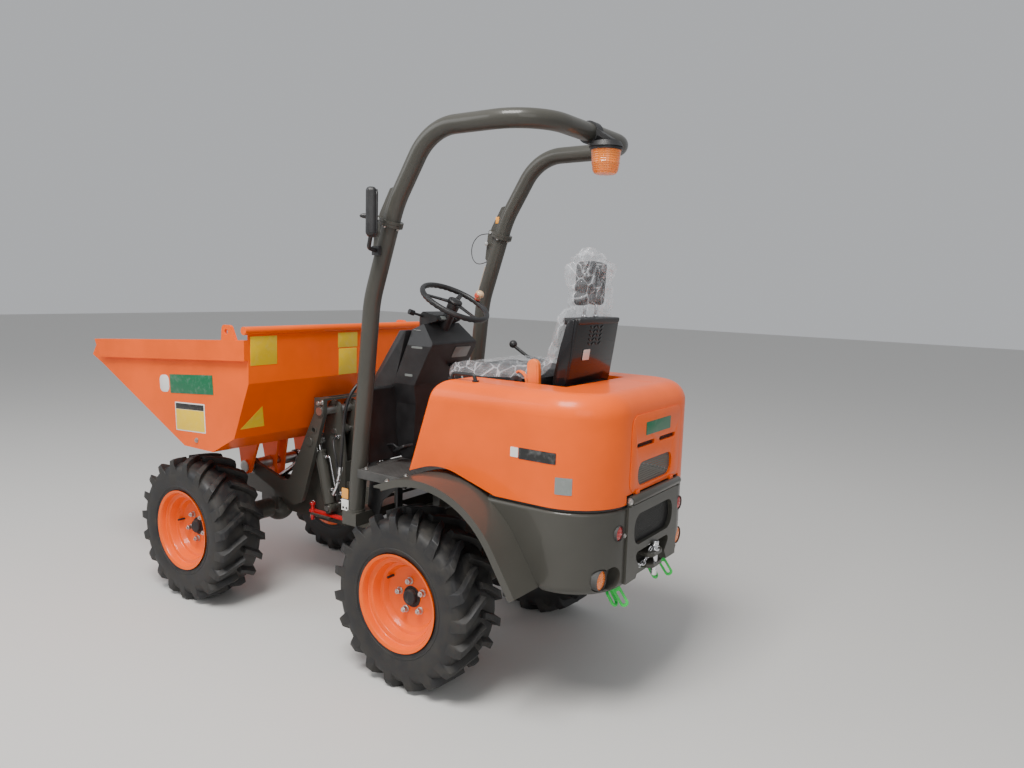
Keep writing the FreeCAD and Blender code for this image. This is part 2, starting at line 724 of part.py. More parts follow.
# Front frame with its tower
def front_frame():
    """Two plates that run from the steering fork over the axle and up into the tower."""
    rear = FRONT_FRAME_REAR_X
    front = FRONT_FRAME_FRONT_X
    low = FRONT_FRAME_LOW_Z
    high = FRAME_BOTTOM_Z + FRONT_FRAME_DEPTH
    half = KNUCKLE_HEIGHT / 2
    plate = [
        (rear, low),
        (FRONT_FRAME_STEP_X, low, 40),
        (FRONT_FRAME_STEP_X + FRAME_BOTTOM_Z - low, FRAME_BOTTOM_Z),
        (front, FRAME_BOTTOM_Z),
        (front, high, 30),
        (TOWER_FOOT_X, high, 60),
        (TOWER_WAIST_X, TIP_BASE[1] - 40, 40),
        (ARM_PIVOT_X + TOWER_EAR_RADIUS, ARM_PIVOT_Z),
        (ARM_PIVOT_X - TOWER_EAR_RADIUS, ARM_PIVOT_Z),
        (rear, TOWER_BACK_Z),
    ]
    side = plate_y(plate, TOWER_INNER_HALF, TOWER_OUTER_HALF)
    ear = cross_rod(ARM_PIVOT_X, ARM_PIVOT_Z, TOWER_EAR_RADIUS, TOWER_INNER_HALF, TOWER_OUTER_HALF)
    inner = TOWER_INNER_HALF
    pieces = both_sides(fuse(side, ear))
    pieces += [
        box(front - FRAME_PLATE, front, -inner, inner, FRAME_BOTTOM_Z, high - 30),
        box(rear, rear + FRONT_FRAME_BACK_PLATE, -inner, inner, low, PIVOT_Z + half + STEER_LUG_THICKNESS + 10),
        box(rear, rear + FRAME_PLATE, -inner, inner, PIVOT_Z + half, TOWER_BACK_Z),
    ]
    for z0 in (PIVOT_Z - half - STEER_LUG_THICKNESS - SEAT_GAP, PIVOT_Z + half + SEAT_GAP):
        z1 = z0 + STEER_LUG_THICKNESS
        pieces.append(box(PIVOT_X, rear + 1, -STEER_LUG_RADIUS, STEER_LUG_RADIUS, z0, z1))
        pieces.append(rod(V(PIVOT_X, 0, z0), V(PIVOT_X, 0, z1), STEER_LUG_RADIUS))
    shelf_z = LOCK_BAR_Z - 12
    shelf_edge = LOCK_BAR_Y + 25
    pieces.append(box(rear + 60, LOCK_BAR_FRONT_X, TOWER_OUTER_HALF - 1, shelf_edge, shelf_z - 10, shelf_z))
    return fuse(*pieces)


def frame_pins():
    """The pins that the front frame carries: steering, arms, tipping cylinder and lifting cylinders."""
    steer_half = KNUCKLE_HEIGHT / 2 + STEER_LUG_THICKNESS + PIN_HEAD
    steer = rod(V(PIVOT_X, 0, PIVOT_Z - steer_half), V(PIVOT_X, 0, PIVOT_Z + steer_half), STEER_PIN_RADIUS)
    lift_half = LIFT_CYLINDER_Y + EYE_WIDTH / 2 + PIN_HEAD
    pins = [
        # (x, z), radius, half length
        ((ARM_PIVOT_X, ARM_PIVOT_Z), ARM_PIN_RADIUS, ARM_OUTER_HALF + PIN_HEAD),
        (TIP_BASE, CYLINDER_PIN_RADIUS, TOWER_OUTER_HALF + PIN_HEAD),
        (LIFT_BASE, CYLINDER_PIN_RADIUS, lift_half),
    ]
    return [steer] + [cross_rod(place[0], place[1], radius, -half, half) for place, radius, half in pins]


pin_shapes = frame_pins()
nodes["front_frame"] = front_frame().cut(pin_shapes)
nodes["frame_pins"] = group(*pin_shapes)


# Lifting gear
def lift_arms():
    """Two bent plates joined by a brace across the top."""
    half = ARM_WIDTH / 2
    front = half + ARM_FRONT_GROWTH
    knee_x = ARM_PIVOT_X + ARM_KNEE_DX
    knee_z = ARM_PIVOT_Z + ARM_KNEE_DZ
    top = ARM_PIVOT_Z + ARM_TOP_RISE
    outline = [
        (ARM_PIVOT_X - half, top),
        (ARM_PIVOT_X - half, ARM_PIVOT_Z - 10, 40),
        (knee_x - half - 30, knee_z - 20, 60),
        (knee_x + 10, knee_z - half - 15, 40),
        (ARM_TIP_X + 10, ARM_TIP_Z - half - 4),
        (ARM_TIP_X, ARM_TIP_Z + half),
        (knee_x + half + 25, knee_z + half + 40, 60),
        (ARM_PIVOT_X + front, ARM_PIVOT_Z - 10, 40),
        (ARM_PIVOT_X + front, top),
    ]
    hole_x = ARM_PIVOT_X + ARM_HOLE_DX
    hole_z = ARM_PIVOT_Z + ARM_HOLE_DZ
    arm = fuse(
        plate_y(outline, ARM_INNER_HALF, ARM_OUTER_HALF),
        cross_rod(ARM_TIP_X, ARM_TIP_Z, half + 10, ARM_INNER_HALF, ARM_OUTER_HALF),
        cross_rod(LIFT_EYE[0], LIFT_EYE[1], ARM_HOLE_RADIUS + 8, ARM_OUTER_HALF - 1, ARM_OUTER_HALF + PIN_HEAD),
    )
    brace = box(ARM_PIVOT_X - half, ARM_PIVOT_X + half, -ARM_INNER_HALF, ARM_INNER_HALF, top - ARM_BRACE, top)
    window_depth = half - BRACE_BORDER
    opening = oblong(ARM_PIVOT_X - window_depth, ARM_PIVOT_X + window_depth, -BRACE_WINDOW_HALF, BRACE_WINDOW_HALF, 8)
    window = plate_z(opening, top - 2 * ARM_BRACE, top + 10)
    cuts = [
        cross_rod(ARM_PIVOT_X, ARM_PIVOT_Z, ARM_PIN_RADIUS + RUNNING_GAP, -300, 300),
        cross_rod(ARM_TIP_X, ARM_TIP_Z, ARM_PIN_RADIUS + RUNNING_GAP, -300, 300),
        cross_rod(hole_x, hole_z, ARM_HOLE_RADIUS, -300, 300),
    ]
    return fuse(*both_sides(arm), brace.cut(window)).cut(cuts)


def cylinder_barrel(base, eye, length, radius, hollow_start, y):
    """Barrel with an eye at its base, its axis in the plane at y from the base pin to the rod's eye."""
    start = V(base[0], y, base[1])
    along = (V(eye[0], y, eye[1]) - start).normalize()
    barrel = rod(start + along * (EYE_RADIUS - 6), start + along * length, radius)
    shoulder = edges_on(barrel, lambda m: (m - start).dot(along) > length - 0.1)
    barrel = barrel.makeFillet(BARREL_SHOULDER, shoulder)
    lug = cross_rod(base[0], base[1], EYE_RADIUS, y - EYE_WIDTH / 2, y + EYE_WIDTH / 2)
    pin = cross_rod(base[0], base[1], CYLINDER_PIN_RADIUS + RUNNING_GAP, y - EYE_WIDTH, y + EYE_WIDTH)
    hollow = rod(start + along * hollow_start, start + along * (length + 10), ROD_RADIUS + RUNNING_GAP)
    return fuse(barrel, lug).cut([pin, hollow])


def cylinder_rod(base, eye, inner_end, y):
    """Rod with its eye, and the eye's pin that stops just short of the lugs beside it."""
    start = V(base[0], y, base[1])
    end = V(eye[0], y, eye[1])
    along = (end - start).normalize()
    bar = rod(start + along * inner_end, end - along * (EYE_RADIUS - 6), ROD_RADIUS)
    lug = cross_rod(eye[0], eye[1], EYE_RADIUS, y - EYE_WIDTH / 2, y + EYE_WIDTH / 2)
    return fuse(bar, lug)


def lift_rod(y):
    stub = cross_rod(LIFT_EYE[0], LIFT_EYE[1], CYLINDER_PIN_RADIUS,
                     y - EYE_WIDTH / 2 - 5, ARM_INNER_HALF - SEAT_GAP)
    return fuse(cylinder_rod(LIFT_BASE, LIFT_EYE, LIFT_ROD_INNER_END, y), stub)


def pivot_shaft():
    """The pin through arm tips and skip lugs, with collars that keep them apart."""
    gap = PIVOT_COLLAR_GAP
    lug_outer = SKIP_LUG_Y + SKIP_LUG_PLATE
    eye_outer = SKIP_EYE_LUG_Y + SKIP_LUG_PLATE
    collars = [
        # inner y, outer y
        (eye_outer + gap, ARM_INNER_HALF - gap),
        (ARM_OUTER_HALF + gap, SKIP_LUG_Y - gap),
        (lug_outer + gap, lug_outer + gap + PIN_HEAD),
    ]
    end = lug_outer + gap + PIN_HEAD
    pieces = [cross_rod(ARM_TIP_X, ARM_TIP_Z, ARM_PIN_RADIUS, -end, end)]
    for y0, y1 in collars:
        pieces += both_sides(cross_rod(ARM_TIP_X, ARM_TIP_Z, PIVOT_COLLAR_RADIUS, y0, y1))
    return fuse(*pieces)


nodes["lift_arms"] = lift_arms()
lift_barrel = cylinder_barrel(LIFT_BASE, LIFT_EYE, LIFT_BARREL_LENGTH, LIFT_BARREL_RADIUS,
                              LIFT_ROD_INNER_END - 2, LIFT_CYLINDER_Y)
nodes["lift_barrels"] = group(*both_sides(lift_barrel))
nodes["lift_rods"] = group(*both_sides(lift_rod(LIFT_CYLINDER_Y)))
tip_barrel = cylinder_barrel(TIP_BASE, TIP_EYE, TIP_BARREL_LENGTH, TIP_BARREL_RADIUS, 60.0, 0.0)
nodes["tip_barrel"] = tip_barrel
nodes["tip_rod"] = cylinder_rod(TIP_BASE, TIP_EYE, TIP_ROD_INNER_END, 0.0)
nodes["pivot_shaft"] = pivot_shaft()


# Skip
def skip():
    """Open sheet body with a folded side rim, a rolled rear edge, lifting lugs and its pivot lugs below."""
    t = SKIP_SHEET
    half = SKIP_HALF_WIDTH
    outline = [
        (SKIP_REAR_X, SKIP_SIDE_REAR_Z),
        (SKIP_REAR_X, SKIP_CREASE_Z),
        (SKIP_HEEL_X, SKIP_HEEL_Z),
        (SKIP_FLOOR_REAR_X, SKIP_FLOOR_Z),
        (SKIP_FLOOR_FRONT_X, SKIP_FLOOR_Z),
        (SKIP_BREAK_X, SKIP_BREAK_Z),
        (SKIP_SLOPE_TOP_X, SKIP_SLOPE_TOP_Z),
        (LIP_X, SKIP_LIP_Z),
        (SKIP_SIDE_FRONT_X, SKIP_SIDE_FRONT_Z),
    ]
    lip_rise = (SKIP_LIP_Z - SKIP_SLOPE_TOP_Z) / (LIP_X - SKIP_SLOPE_TOP_X)
    hollow = [
        (SKIP_REAR_X + t, SKIP_REAR_TOP_Z + 100),
        (SKIP_REAR_X + t, SKIP_CREASE_Z + 1),
        (SKIP_HEEL_X + t, SKIP_HEEL_Z + 3),
        (SKIP_FLOOR_REAR_X + 2, SKIP_FLOOR_Z + t),
        (SKIP_FLOOR_FRONT_X - 2, SKIP_FLOOR_Z + t),
        (SKIP_BREAK_X - 3, SKIP_BREAK_Z + t),
        (SKIP_SLOPE_TOP_X - 2, SKIP_SLOPE_TOP_Z + t),
        (LIP_X + 100, SKIP_LIP_Z + 100 * lip_rise + t),
        (LIP_X + 100, SKIP_REAR_TOP_Z + 100),
    ]
    shell = plate_y(outline, -half, half).cut(plate_y(hollow, -half + t, half - t))
    rim_z = SKIP_REAR_TOP_Z - RIM_ROLL_RADIUS
    rear_top = box(SKIP_REAR_X, SKIP_REAR_X + t, -half, half, SKIP_SIDE_REAR_Z - 20, rim_z)
    roll = cross_rod(SKIP_REAR_X + t / 2, rim_z, RIM_ROLL_RADIUS, -half - RIM_BAND_OUT, half + RIM_BAND_OUT)
    band = [
        (SKIP_REAR_X, SKIP_SIDE_REAR_Z),
        (SKIP_REAR_X, SKIP_SIDE_REAR_Z - RIM_BAND_DEPTH),
        (SKIP_SIDE_FRONT_X - 55, SKIP_SIDE_FRONT_Z - RIM_BAND_DEPTH),
        (SKIP_SIDE_FRONT_X, SKIP_SIDE_FRONT_Z),
    ]
    lifting_lug = [
        (LIFTING_EYE_X - LIFTING_LUG_BASE * 0.7, SKIP_SIDE_REAR_Z - 30),
        (LIFTING_EYE_X - LIFTING_LUG_RADIUS, LIFTING_EYE_Z + LIFTING_LUG_RADIUS, LIFTING_LUG_RADIUS * 0.7),
        (LIFTING_EYE_X + LIFTING_LUG_RADIUS, LIFTING_EYE_Z + LIFTING_LUG_RADIUS, LIFTING_LUG_RADIUS * 0.7),
        (LIFTING_EYE_X + LIFTING_LUG_RADIUS + 8, SKIP_SIDE_REAR_Z - 30),
    ]
    lug = [
        (ARM_TIP_X - SKIP_LUG_RADIUS, ARM_TIP_Z),
        (ARM_TIP_X + SKIP_LUG_RADIUS, ARM_TIP_Z),
        (ARM_TIP_X + 90, SKIP_BREAK_Z + 10),
        (ARM_TIP_X - 120, SKIP_FLOOR_Z + 2),
    ]
    eye_lug = [
        (TIP_EYE[0] - EYE_RADIUS - 3, TIP_EYE[1]),
        (TIP_EYE[0] + EYE_RADIUS + 3, TIP_EYE[1]),
        (ARM_TIP_X + SKIP_LUG_RADIUS, ARM_TIP_Z),
        (ARM_TIP_X + 110, SKIP_BREAK_Z + 20),
        (ARM_TIP_X - 80, SKIP_FLOOR_Z + 2),
        (ARM_TIP_X - SKIP_LUG_RADIUS, ARM_TIP_Z),
    ]
    lug_outer = SKIP_LUG_Y + SKIP_LUG_PLATE
    eye_outer = SKIP_EYE_LUG_Y + SKIP_LUG_PLATE
    side_pieces = [
        plate_y(band, half - 1, half + RIM_BAND_OUT),
        plate_y(lifting_lug, half + RIM_BAND_OUT - LIFTING_LUG_PLATE, half + RIM_BAND_OUT),
        plate_y(lug, SKIP_LUG_Y, lug_outer),
        cross_rod(ARM_TIP_X, ARM_TIP_Z, SKIP_LUG_RADIUS, SKIP_LUG_Y, lug_outer),
        plate_y(eye_lug, SKIP_EYE_LUG_Y, eye_outer),
        cross_rod(TIP_EYE[0], TIP_EYE[1], EYE_RADIUS + 3, SKIP_EYE_LUG_Y, eye_outer),
        cross_rod(TIP_EYE[0], TIP_EYE[1], CYLINDER_PIN_RADIUS, eye_outer - 1, eye_outer + PIN_HEAD),
    ]
    pieces = [shell, rear_top, roll]
    for piece in side_pieces:
        pieces += both_sides(piece)
    inside = plate_y(hollow, -half + t, half - t)
    reach = SKIP_LUG_Y + 50
    lugs_inside = inside.common(box(SKIP_HEEL_X + 60, LIP_X, -reach, reach, 0, SKIP_SIDE_FRONT_Z))
    cuts = [
        lugs_inside,
        cross_rod(ARM_TIP_X, ARM_TIP_Z, ARM_PIN_RADIUS + RUNNING_GAP, -half, half),
        cross_rod(LIFTING_EYE_X, LIFTING_EYE_Z, LIFTING_EYE_RADIUS, -half - 100, half + 100),
    ]
    return fuse(*pieces).cut(cuts)


nodes["skip"] = skip()


# Rear body
def plan_face(half_width, rear_x, front_x, corner, z):
    """Rear body plan: square at the front, rounded rear corners."""
    return rounded_face([
        (V(front_x, half_width, z), 0.0),
        (V(rear_x, half_width, z), corner),
        (V(rear_x, -half_width, z), corner),
        (V(front_x, -half_width, z), 0.0),
    ])


def corner_x(y):
    """Where the rear body's rounded corner lies at a given distance from the middle."""
    across = abs(y) - (BODY_HALF_WIDTH - BODY_CORNER_RADIUS)
    return WEIGHT_REAR_X + BODY_CORNER_RADIUS - math.sqrt(BODY_CORNER_RADIUS ** 2 - across ** 2)


def fender_path(drop):
    """The fender's arch in the X-Z plane, moved inwards by drop."""
    return [
        (FENDER_FRONT_X, FENDER_FRONT_Z - drop),
        (FENDER_CROWN_X + 0.3 * drop, FENDER_CROWN_Z - 1.25 * drop, FENDER_ARCH_RADIUS - drop),
        (FENDER_END_X + 0.84 * drop, FENDER_END_Z - 0.55 * drop),
    ]


FENDER_FRONT_X = FLOOR_REAR_X + FENDER_FLOOR_LAP
FENDER_FRONT_Z = FLOOR_Z + FENDER_SHEET + SEAT_GAP


def counterweight():
    """Rounded wall with a proud plate at the rear, its grille and hitch openings and the lamp pockets."""
    height = WEIGHT_TOP_Z - WEIGHT_BOTTOM_Z
    outer = plan_face(BODY_HALF_WIDTH, WEIGHT_REAR_X, WEIGHT_FRONT_X, BODY_CORNER_RADIUS, WEIGHT_BOTTOM_Z)
    solid = outer.extrude(Z * height)
    rounds = [
        # height of the edge, radius
        (WEIGHT_TOP_Z, WEIGHT_TOP_ROUND),
        (WEIGHT_BOTTOM_Z, WEIGHT_BOTTOM_ROUND),
    ]
    for edge_z, radius in rounds:
        edge_list = edges_on(solid, lambda m: abs(m.z - edge_z) < 0.1 and m.x < WEIGHT_FRONT_X - 1)
        solid = solid.makeFillet(radius, edge_list)
    inner = plan_face(BODY_HALF_WIDTH - WEIGHT_WALL, WEIGHT_INNER_X, WEIGHT_FRONT_X + 50,
                      BODY_CORNER_RADIUS - WEIGHT_WALL, WEIGHT_BOTTOM_Z - 10)
    rear_plate = box(WEIGHT_REAR_X - REAR_PLATE_OUT, WEIGHT_REAR_X + 20, -REAR_PLATE_HALF, REAR_PLATE_HALF,
                     REAR_PLATE_LOW_Z, WEIGHT_TOP_Z)
    below_fender = [(FENDER_FRONT_X, WEIGHT_BOTTOM_Z - 100)] + fender_path(-SEAT_GAP)
    below_fender[-1] = (FENDER_END_X - 40, FENDER_END_Z - 61)
    below_fender.append((FENDER_END_X - 40, WEIGHT_BOTTOM_Z - 100))
    grille = oblong(-GRILLE_HALF_WIDTH, GRILLE_HALF_WIDTH, GRILLE_LOW_Z, GRILLE_HIGH_Z, GRILLE_CORNER)
    hitch = [
        (-HITCH_HALF_WIDTH, HITCH_TOP_Z, 20),
        (-HITCH_NECK_HALF, HITCH_NECK_Z),
        (-HITCH_HALF_WIDTH, WEIGHT_BOTTOM_Z - 20),
        (HITCH_HALF_WIDTH, WEIGHT_BOTTOM_Z - 20),
        (HITCH_NECK_HALF, HITCH_NECK_Z),
        (HITCH_HALF_WIDTH, HITCH_TOP_Z, 20),
    ]
    cuts = [
        inner.extrude(Z * (height + 20)),
        plate_y(below_fender, -BODY_HALF_WIDTH - 10, BODY_HALF_WIDTH + 10),
        plate_x(grille, REAR_X, WEIGHT_INNER_X + 10),
        plate_x(hitch, REAR_X, WEIGHT_INNER_X + 10),
    ]
    lamp_back = corner_x(TAIL_LAMP_Y) + LAMP_BACK_WALL
    tail = long_rod(REAR_X, lamp_back, TAIL_LAMP_Y, TAIL_LAMP_Z, TAIL_LAMP_RADIUS + 4)
    cuts += both_sides(tail)
    tunnel_back = corner_x(MARKER_LAMP_Y) + LAMP_BACK_WALL
    for y in (MARKER_LAMP_Y, MARKER_LAMP_Y - TUNNEL_SPREAD):
        cuts += both_sides(long_rod(REAR_X, tunnel_back, y, MARKER_LAMP_Z, TUNNEL_RADIUS))
    return fuse(solid, rear_plate).cut(cuts)


def rear_lamps():
    """A red lamp in each upper pocket and an amber one in each lower tunnel."""
    lamps = []
    tail_back = corner_x(TAIL_LAMP_Y) + LAMP_BACK_WALL
    marker_back = corner_x(MARKER_LAMP_Y) + LAMP_BACK_WALL
    rows = [
        # back x, y, z, radius, length
        (tail_back, TAIL_LAMP_Y, TAIL_LAMP_Z, TAIL_LAMP_RADIUS, LAMP_BACK_WALL + 6),
        (marker_back, MARKER_LAMP_Y, MARKER_LAMP_Z, MARKER_LAMP_RADIUS, LAMP_BACK_WALL + 4),
    ]
    for back, y, z, radius, length in rows:
        lens = Part.makeCylinder(radius, length, V(back, y, z), -X)
        rear_edge = edges_on(lens, lambda m: abs(m.x - (back - length)) < 0.1)
        lamps += both_sides(lens.makeFillet(5.0, rear_edge))
    return group(*lamps)


HINGE_BAR_X = WEIGHT_REAR_X - REAR_PLATE_OUT + 2


def hinge_bar():
    half = HINGE_BAR_HALF
    foot = box(HINGE_BAR_X - 10, HINGE_BAR_X + 10, half - 14, half, WEIGHT_TOP_Z, HINGE_BAR_Z)
    bar = cross_rod(HINGE_BAR_X, HINGE_BAR_Z, HINGE_BAR_RADIUS, -half, half)
    return fuse(bar, *both_sides(foot))


nodes["counterweight"] = fuse(counterweight(), hinge_bar())
nodes["rear_lamps"] = rear_lamps()


def grille_panel(half_width, low, high, corner, x0, x1):
    return plate_x(oblong(-half_width, half_width, low, high, corner), x0, x1)


nodes["bumper_grille"] = grille_panel(
    GRILLE_HALF_WIDTH - SEAT_GAP, GRILLE_LOW_Z + SEAT_GAP, GRILLE_HIGH_Z - SEAT_GAP, GRILLE_CORNER - SEAT_GAP,
    WEIGHT_REAR_X + 8, WEIGHT_REAR_X + 8 + GRILLE_SHEET)


def fender():
    """The arched sheet over a rear wheel with its turned-down outer lip, left side."""
    def band(depth):
        below = fender_path(depth)
        return fender_path(0.0) + below[::-1]
    sheet = plate_y(band(FENDER_SHEET), FENDER_INNER_Y, FENDER_OUTER_Y)
    lip = plate_y(band(FENDER_LIP), FENDER_OUTER_Y - FENDER_SHEET, FENDER_OUTER_Y)
    return fuse(sheet, lip)


fender_shape = fender().cut(box(FENDER_FRONT_X - 40, FENDER_FRONT_X + 40, 0, 1000, 0, FLOOR_Z + SEAT_GAP))
nodes["fenders"] = group(*both_sides(fender_shape))


# Hitch and lashing eyes
def tow_hitch():
    front = WEIGHT_INNER_X
    half = HITCH_PLATE_HALF
    pin_x = REAR_X + TOW_PIN_INSET
    pieces = [box(front - HITCH_PLATE, front, -half, half, HITCH_LOW_Z, HITCH_HIGH_Z)]
    for z0 in (HITCH_LOW_Z, HITCH_HIGH_Z - HITCH_PLATE):
        outline = [(front, -half), (front, half), (REAR_X, half, 28), (REAR_X, -half, 28)]
        pieces.append(plate_z(outline, z0, z0 + HITCH_PLATE))
    bore = rod(V(pin_x, 0, HITCH_LOW_Z - 50), V(pin_x, 0, HITCH_HIGH_Z + 50), TOW_PIN_RADIUS + SEAT_GAP)
    pin = rod(V(pin_x, 0, TOW_PIN_LOW_Z), V(pin_x, 0, TOW_PIN_HIGH_Z), TOW_PIN_RADIUS)
    head = rod(V(pin_x, 0, HITCH_HIGH_Z + SEAT_GAP), V(pin_x, 0, HITCH_HIGH_Z + 8), TOW_PIN_RADIUS + 3)
    return fuse(*pieces).cut(bore), fuse(pin, head)


def lashing_eyes():
    """Long bar loops that lean back under the counterweight, each on a small plate."""
    top = FRAME_BOTTOM_Z + REAR_FRAME_TAIL_RISE
    x = LASHING_EYE_X
    y = REAR_FRAME_HALF - FRAME_PLATE / 2
    bend = LASHING_LOOP_HALF
    upper = V(x, y, LASHING_EYE_Z)
    lower = upper - Z * LASHING_LOOP_LENGTH
    loop = [Part.makeTorus(bend, LASHING_BAR_RADIUS, middle, X) for middle in (upper, lower)]
    loop = [loop[0].common(box(x - 50, x + 50, 0, 2 * y, upper.z, upper.z + 50)),
            loop[1].common(box(x - 50, x + 50, 0, 2 * y, lower.z - 50, lower.z))]
    loop += [rod(upper + Y * side, lower + Y * side, LASHING_BAR_RADIUS) for side in (-bend, bend)]
    link = fuse(*loop)
    link.rotate(upper, Y, LASHING_LEAN)
    stem = rod(upper + Z * (bend - 2), V(x, y, top - 12), LASHING_BAR_RADIUS)
    foot = box(x - 22, x + 22, y - FRAME_PLATE / 2, y + FRAME_PLATE / 2, top - 13, top - SEAT_GAP)
    return group(*both_sides(fuse(link, stem, foot)))


nodes["tow_hitch"] = group(*tow_hitch())
nodes["lashing_eyes"] = lashing_eyes()


# Bonnet with its seat
def bonnet_form(inset):
    """The bonnet's closed form, drawn in by inset on every side but the open bottom."""
    rear = WEIGHT_REAR_X + inset
    top = BONNET_TOP_Z - inset
    low = WEIGHT_TOP_Z - BONNET_SKIRT
    plan = plan_face(BODY_HALF_WIDTH - inset, rear, BONNET_FRONT_LOW_X + 100, BODY_CORNER_RADIUS - inset, low)
    solid = plan.extrude(Z * (top - low))
    slope = (BONNET_FRONT_TOP_X - BONNET_FRONT_LOW_X) / (BONNET_TOP_Z - BONNET_FRONT_LOW_Z)
    across = inset * math.hypot(1.0, slope)
    front_cut = []
    for z in (low - BONNET_SKIRT, BONNET_TOP_Z + BONNET_SKIRT):
        front_cut.append((BONNET_FRONT_LOW_X - across + slope * (z - BONNET_FRONT_LOW_Z), z))
    for z in (BONNET_TOP_Z + BONNET_SKIRT, low - BONNET_SKIRT):
        front_cut.append((BONNET_FRONT_LOW_X + 2 * BONNET_SKIRT, z))
    solid = solid.cut(plate_y(front_cut, -1000, 1000))
    solid = solid.makeFillet(BONNET_TOP_ROUND - inset, edges_on(solid, lambda m: abs(m.z - top) < 0.1))
    side_edges = edges_on(solid, lambda m: BONNET_FRONT_TOP_X - 30 < m.x < BONNET_FRONT_LOW_X + 50
                          and low + 5 < m.z < top - 5 and abs(m.y) > BODY_HALF_WIDTH - inset - 5)
    solid = solid.makeFillet(BONNET_SIDE_ROUND - inset, side_edges)
    recess = box(RECESS_REAR_X - inset, 0, -RECESS_HALF_WIDTH - inset, RECESS_HALF_WIDTH + inset,
                 RECESS_Z - inset, BONNET_TOP_Z + BONNET_SKIRT)
    return solid.cut(recess)


def bonnet():
    shell = bonnet_form(0.0).cut(bonnet_form(BONNET_SHEET))
    low = WEIGHT_TOP_Z + SEAM_GAP
    below = [
        (BONNET_FRONT_LOW_X + 200, WEIGHT_BOTTOM_Z),
        (BONNET_FRONT_LOW_X + 200, BONNET_FRONT_LOW_Z),
        (BONNET_FRONT_LOW_X, BONNET_FRONT_LOW_Z),
        (BONNET_ARCH_X, BONNET_ARCH_Z, BONNET_ARCH_RADIUS),
        (BONNET_KINK_X, low, 40),
        (REAR_X - 100, low),
        (REAR_X - 100, WEIGHT_BOTTOM_Z),
    ]
    bar_top = HINGE_BAR_Z + HINGE_BAR_RADIUS + SEAM_GAP
    slot = oblong(SLOT_INNER_Y, SLOT_OUTER_Y, SLOT_Z - SLOT_HEIGHT / 2, SLOT_Z + SLOT_HEIGHT / 2, 8)
    wall = WEIGHT_REAR_X + BONNET_SHEET + 5
    cuts = [
        plate_y(below, -1000, 1000),
        box(REAR_X, wall, -HINGE_BAR_HALF - SEAM_GAP, HINGE_BAR_HALF + SEAM_GAP, low - 10, bar_top),
        grille_panel(BONNET_GRILLE_HALF, BONNET_GRILLE_LOW_Z, BONNET_GRILLE_HIGH_Z, 42, REAR_X, wall),
    ]
    cuts += both_sides(plate_x(slot, REAR_X, wall))
    shell = shell.cut(cuts)
    knuckle_half = HINGE_KNUCKLE_WIDTH / 2
    knuckles = []
    for y in (-HINGE_KNUCKLE_Y, HINGE_KNUCKLE_Y):
        y0 = y - knuckle_half
        y1 = y + knuckle_half
        knuckles.append(cross_rod(HINGE_BAR_X, HINGE_BAR_Z, HINGE_KNUCKLE_RADIUS, y0, y1))
        knuckles.append(box(HINGE_BAR_X, WEIGHT_REAR_X + BONNET_SHEET, y0, y1, HINGE_BAR_Z, bar_top + 10))
    bore = cross_rod(HINGE_BAR_X, HINGE_BAR_Z, HINGE_BAR_RADIUS + RUNNING_GAP, -HINGE_BAR_HALF, HINGE_BAR_HALF)
    return fuse(shell, *knuckles).cut(bore)


nodes["bonnet"] = bonnet()
grille_x = WEIGHT_REAR_X + BONNET_SHEET + SEAT_GAP
nodes["bonnet_grille"] = grille_panel(
    BONNET_GRILLE_HALF + 12, BONNET_GRILLE_LOW_Z - 12, BONNET_GRILLE_HIGH_Z + 12, 50,
    grille_x, grille_x + GRILLE_SHEET)

seat_floor_z = RECESS_Z + SEAT_GAP
cushion_z = seat_floor_z + SEAT_BASE_HEIGHT + SEAT_GAP


def control_lever():
    """Cranked lever on the right of the seat with a drop-shaped grip."""
    y = -RECESS_HALF_WIDTH - LEVER_OUT
    foot = V(LEVER_X, y, BONNET_TOP_Z + SEAT_GAP)
    bends = [foot + V(0, 0, 33), foot + V(105, 14, 50), foot + V(175, 32, 99)]
    points = [foot] + bends
    grip = Part.makeSphere(LEVER_GRIP_RADIUS, bends[-1] + V(7, 1, 10))
    plinth = Part.makeCylinder(18, 14, foot, Z)
    return fuse(pipe(points, [15.0, 25.0], 8.0), grip, plinth)


def seat_base():
    half = RECESS_HALF_WIDTH - 8
    top = seat_floor_z + SEAT_BASE_HEIGHT
    plate = box(RECESS_REAR_X + 10, SEAT_FRONT_X - 80, -half, half, seat_floor_z, top)
    return group(plate, control_lever())


nodes["seat_base"] = seat_base()
nodes["seat_cushion"] = plate_y([
    (SEAT_FRONT_X, cushion_z + 12, 25), (SEAT_FRONT_X, SEAT_CUSHION_TOP_Z, 35),
    (SEAT_REAR_X, SEAT_CUSHION_TOP_Z, 15), (SEAT_REAR_X, cushion_z),
], -SEAT_HALF_WIDTH, SEAT_HALF_WIDTH)
seat_back = plate_y([
    (SEAT_REAR_X - 6, cushion_z), (SEAT_REAR_X - SEAT_BACK_REACH, cushion_z, 30),
    (SEAT_REAR_X - SEAT_BACK_REACH - 45, SEAT_BACK_TOP_Z, 40), (SEAT_REAR_X - 62, SEAT_BACK_TOP_Z, 30),
], -SEAT_BACK_HALF_WIDTH, SEAT_BACK_HALF_WIDTH)


def headrest():
    x = SEAT_REAR_X - 50
    pad = plate_y([
        (x, HEADREST_LOW_Z, 25), (x - 75, HEADREST_LOW_Z, 25),
        (x - 85, HEADREST_HIGH_Z, 35), (x - 12, HEADREST_HIGH_Z, 35),
    ], -HEADREST_HALF_WIDTH, HEADREST_HALF_WIDTH)
    posts = both_sides(rod(V(x - 45, 50, SEAT_BACK_TOP_Z + SEAT_GAP), V(x - 45, 50, HEADREST_LOW_Z + 30), 7.0))
    return fuse(pad, *posts)


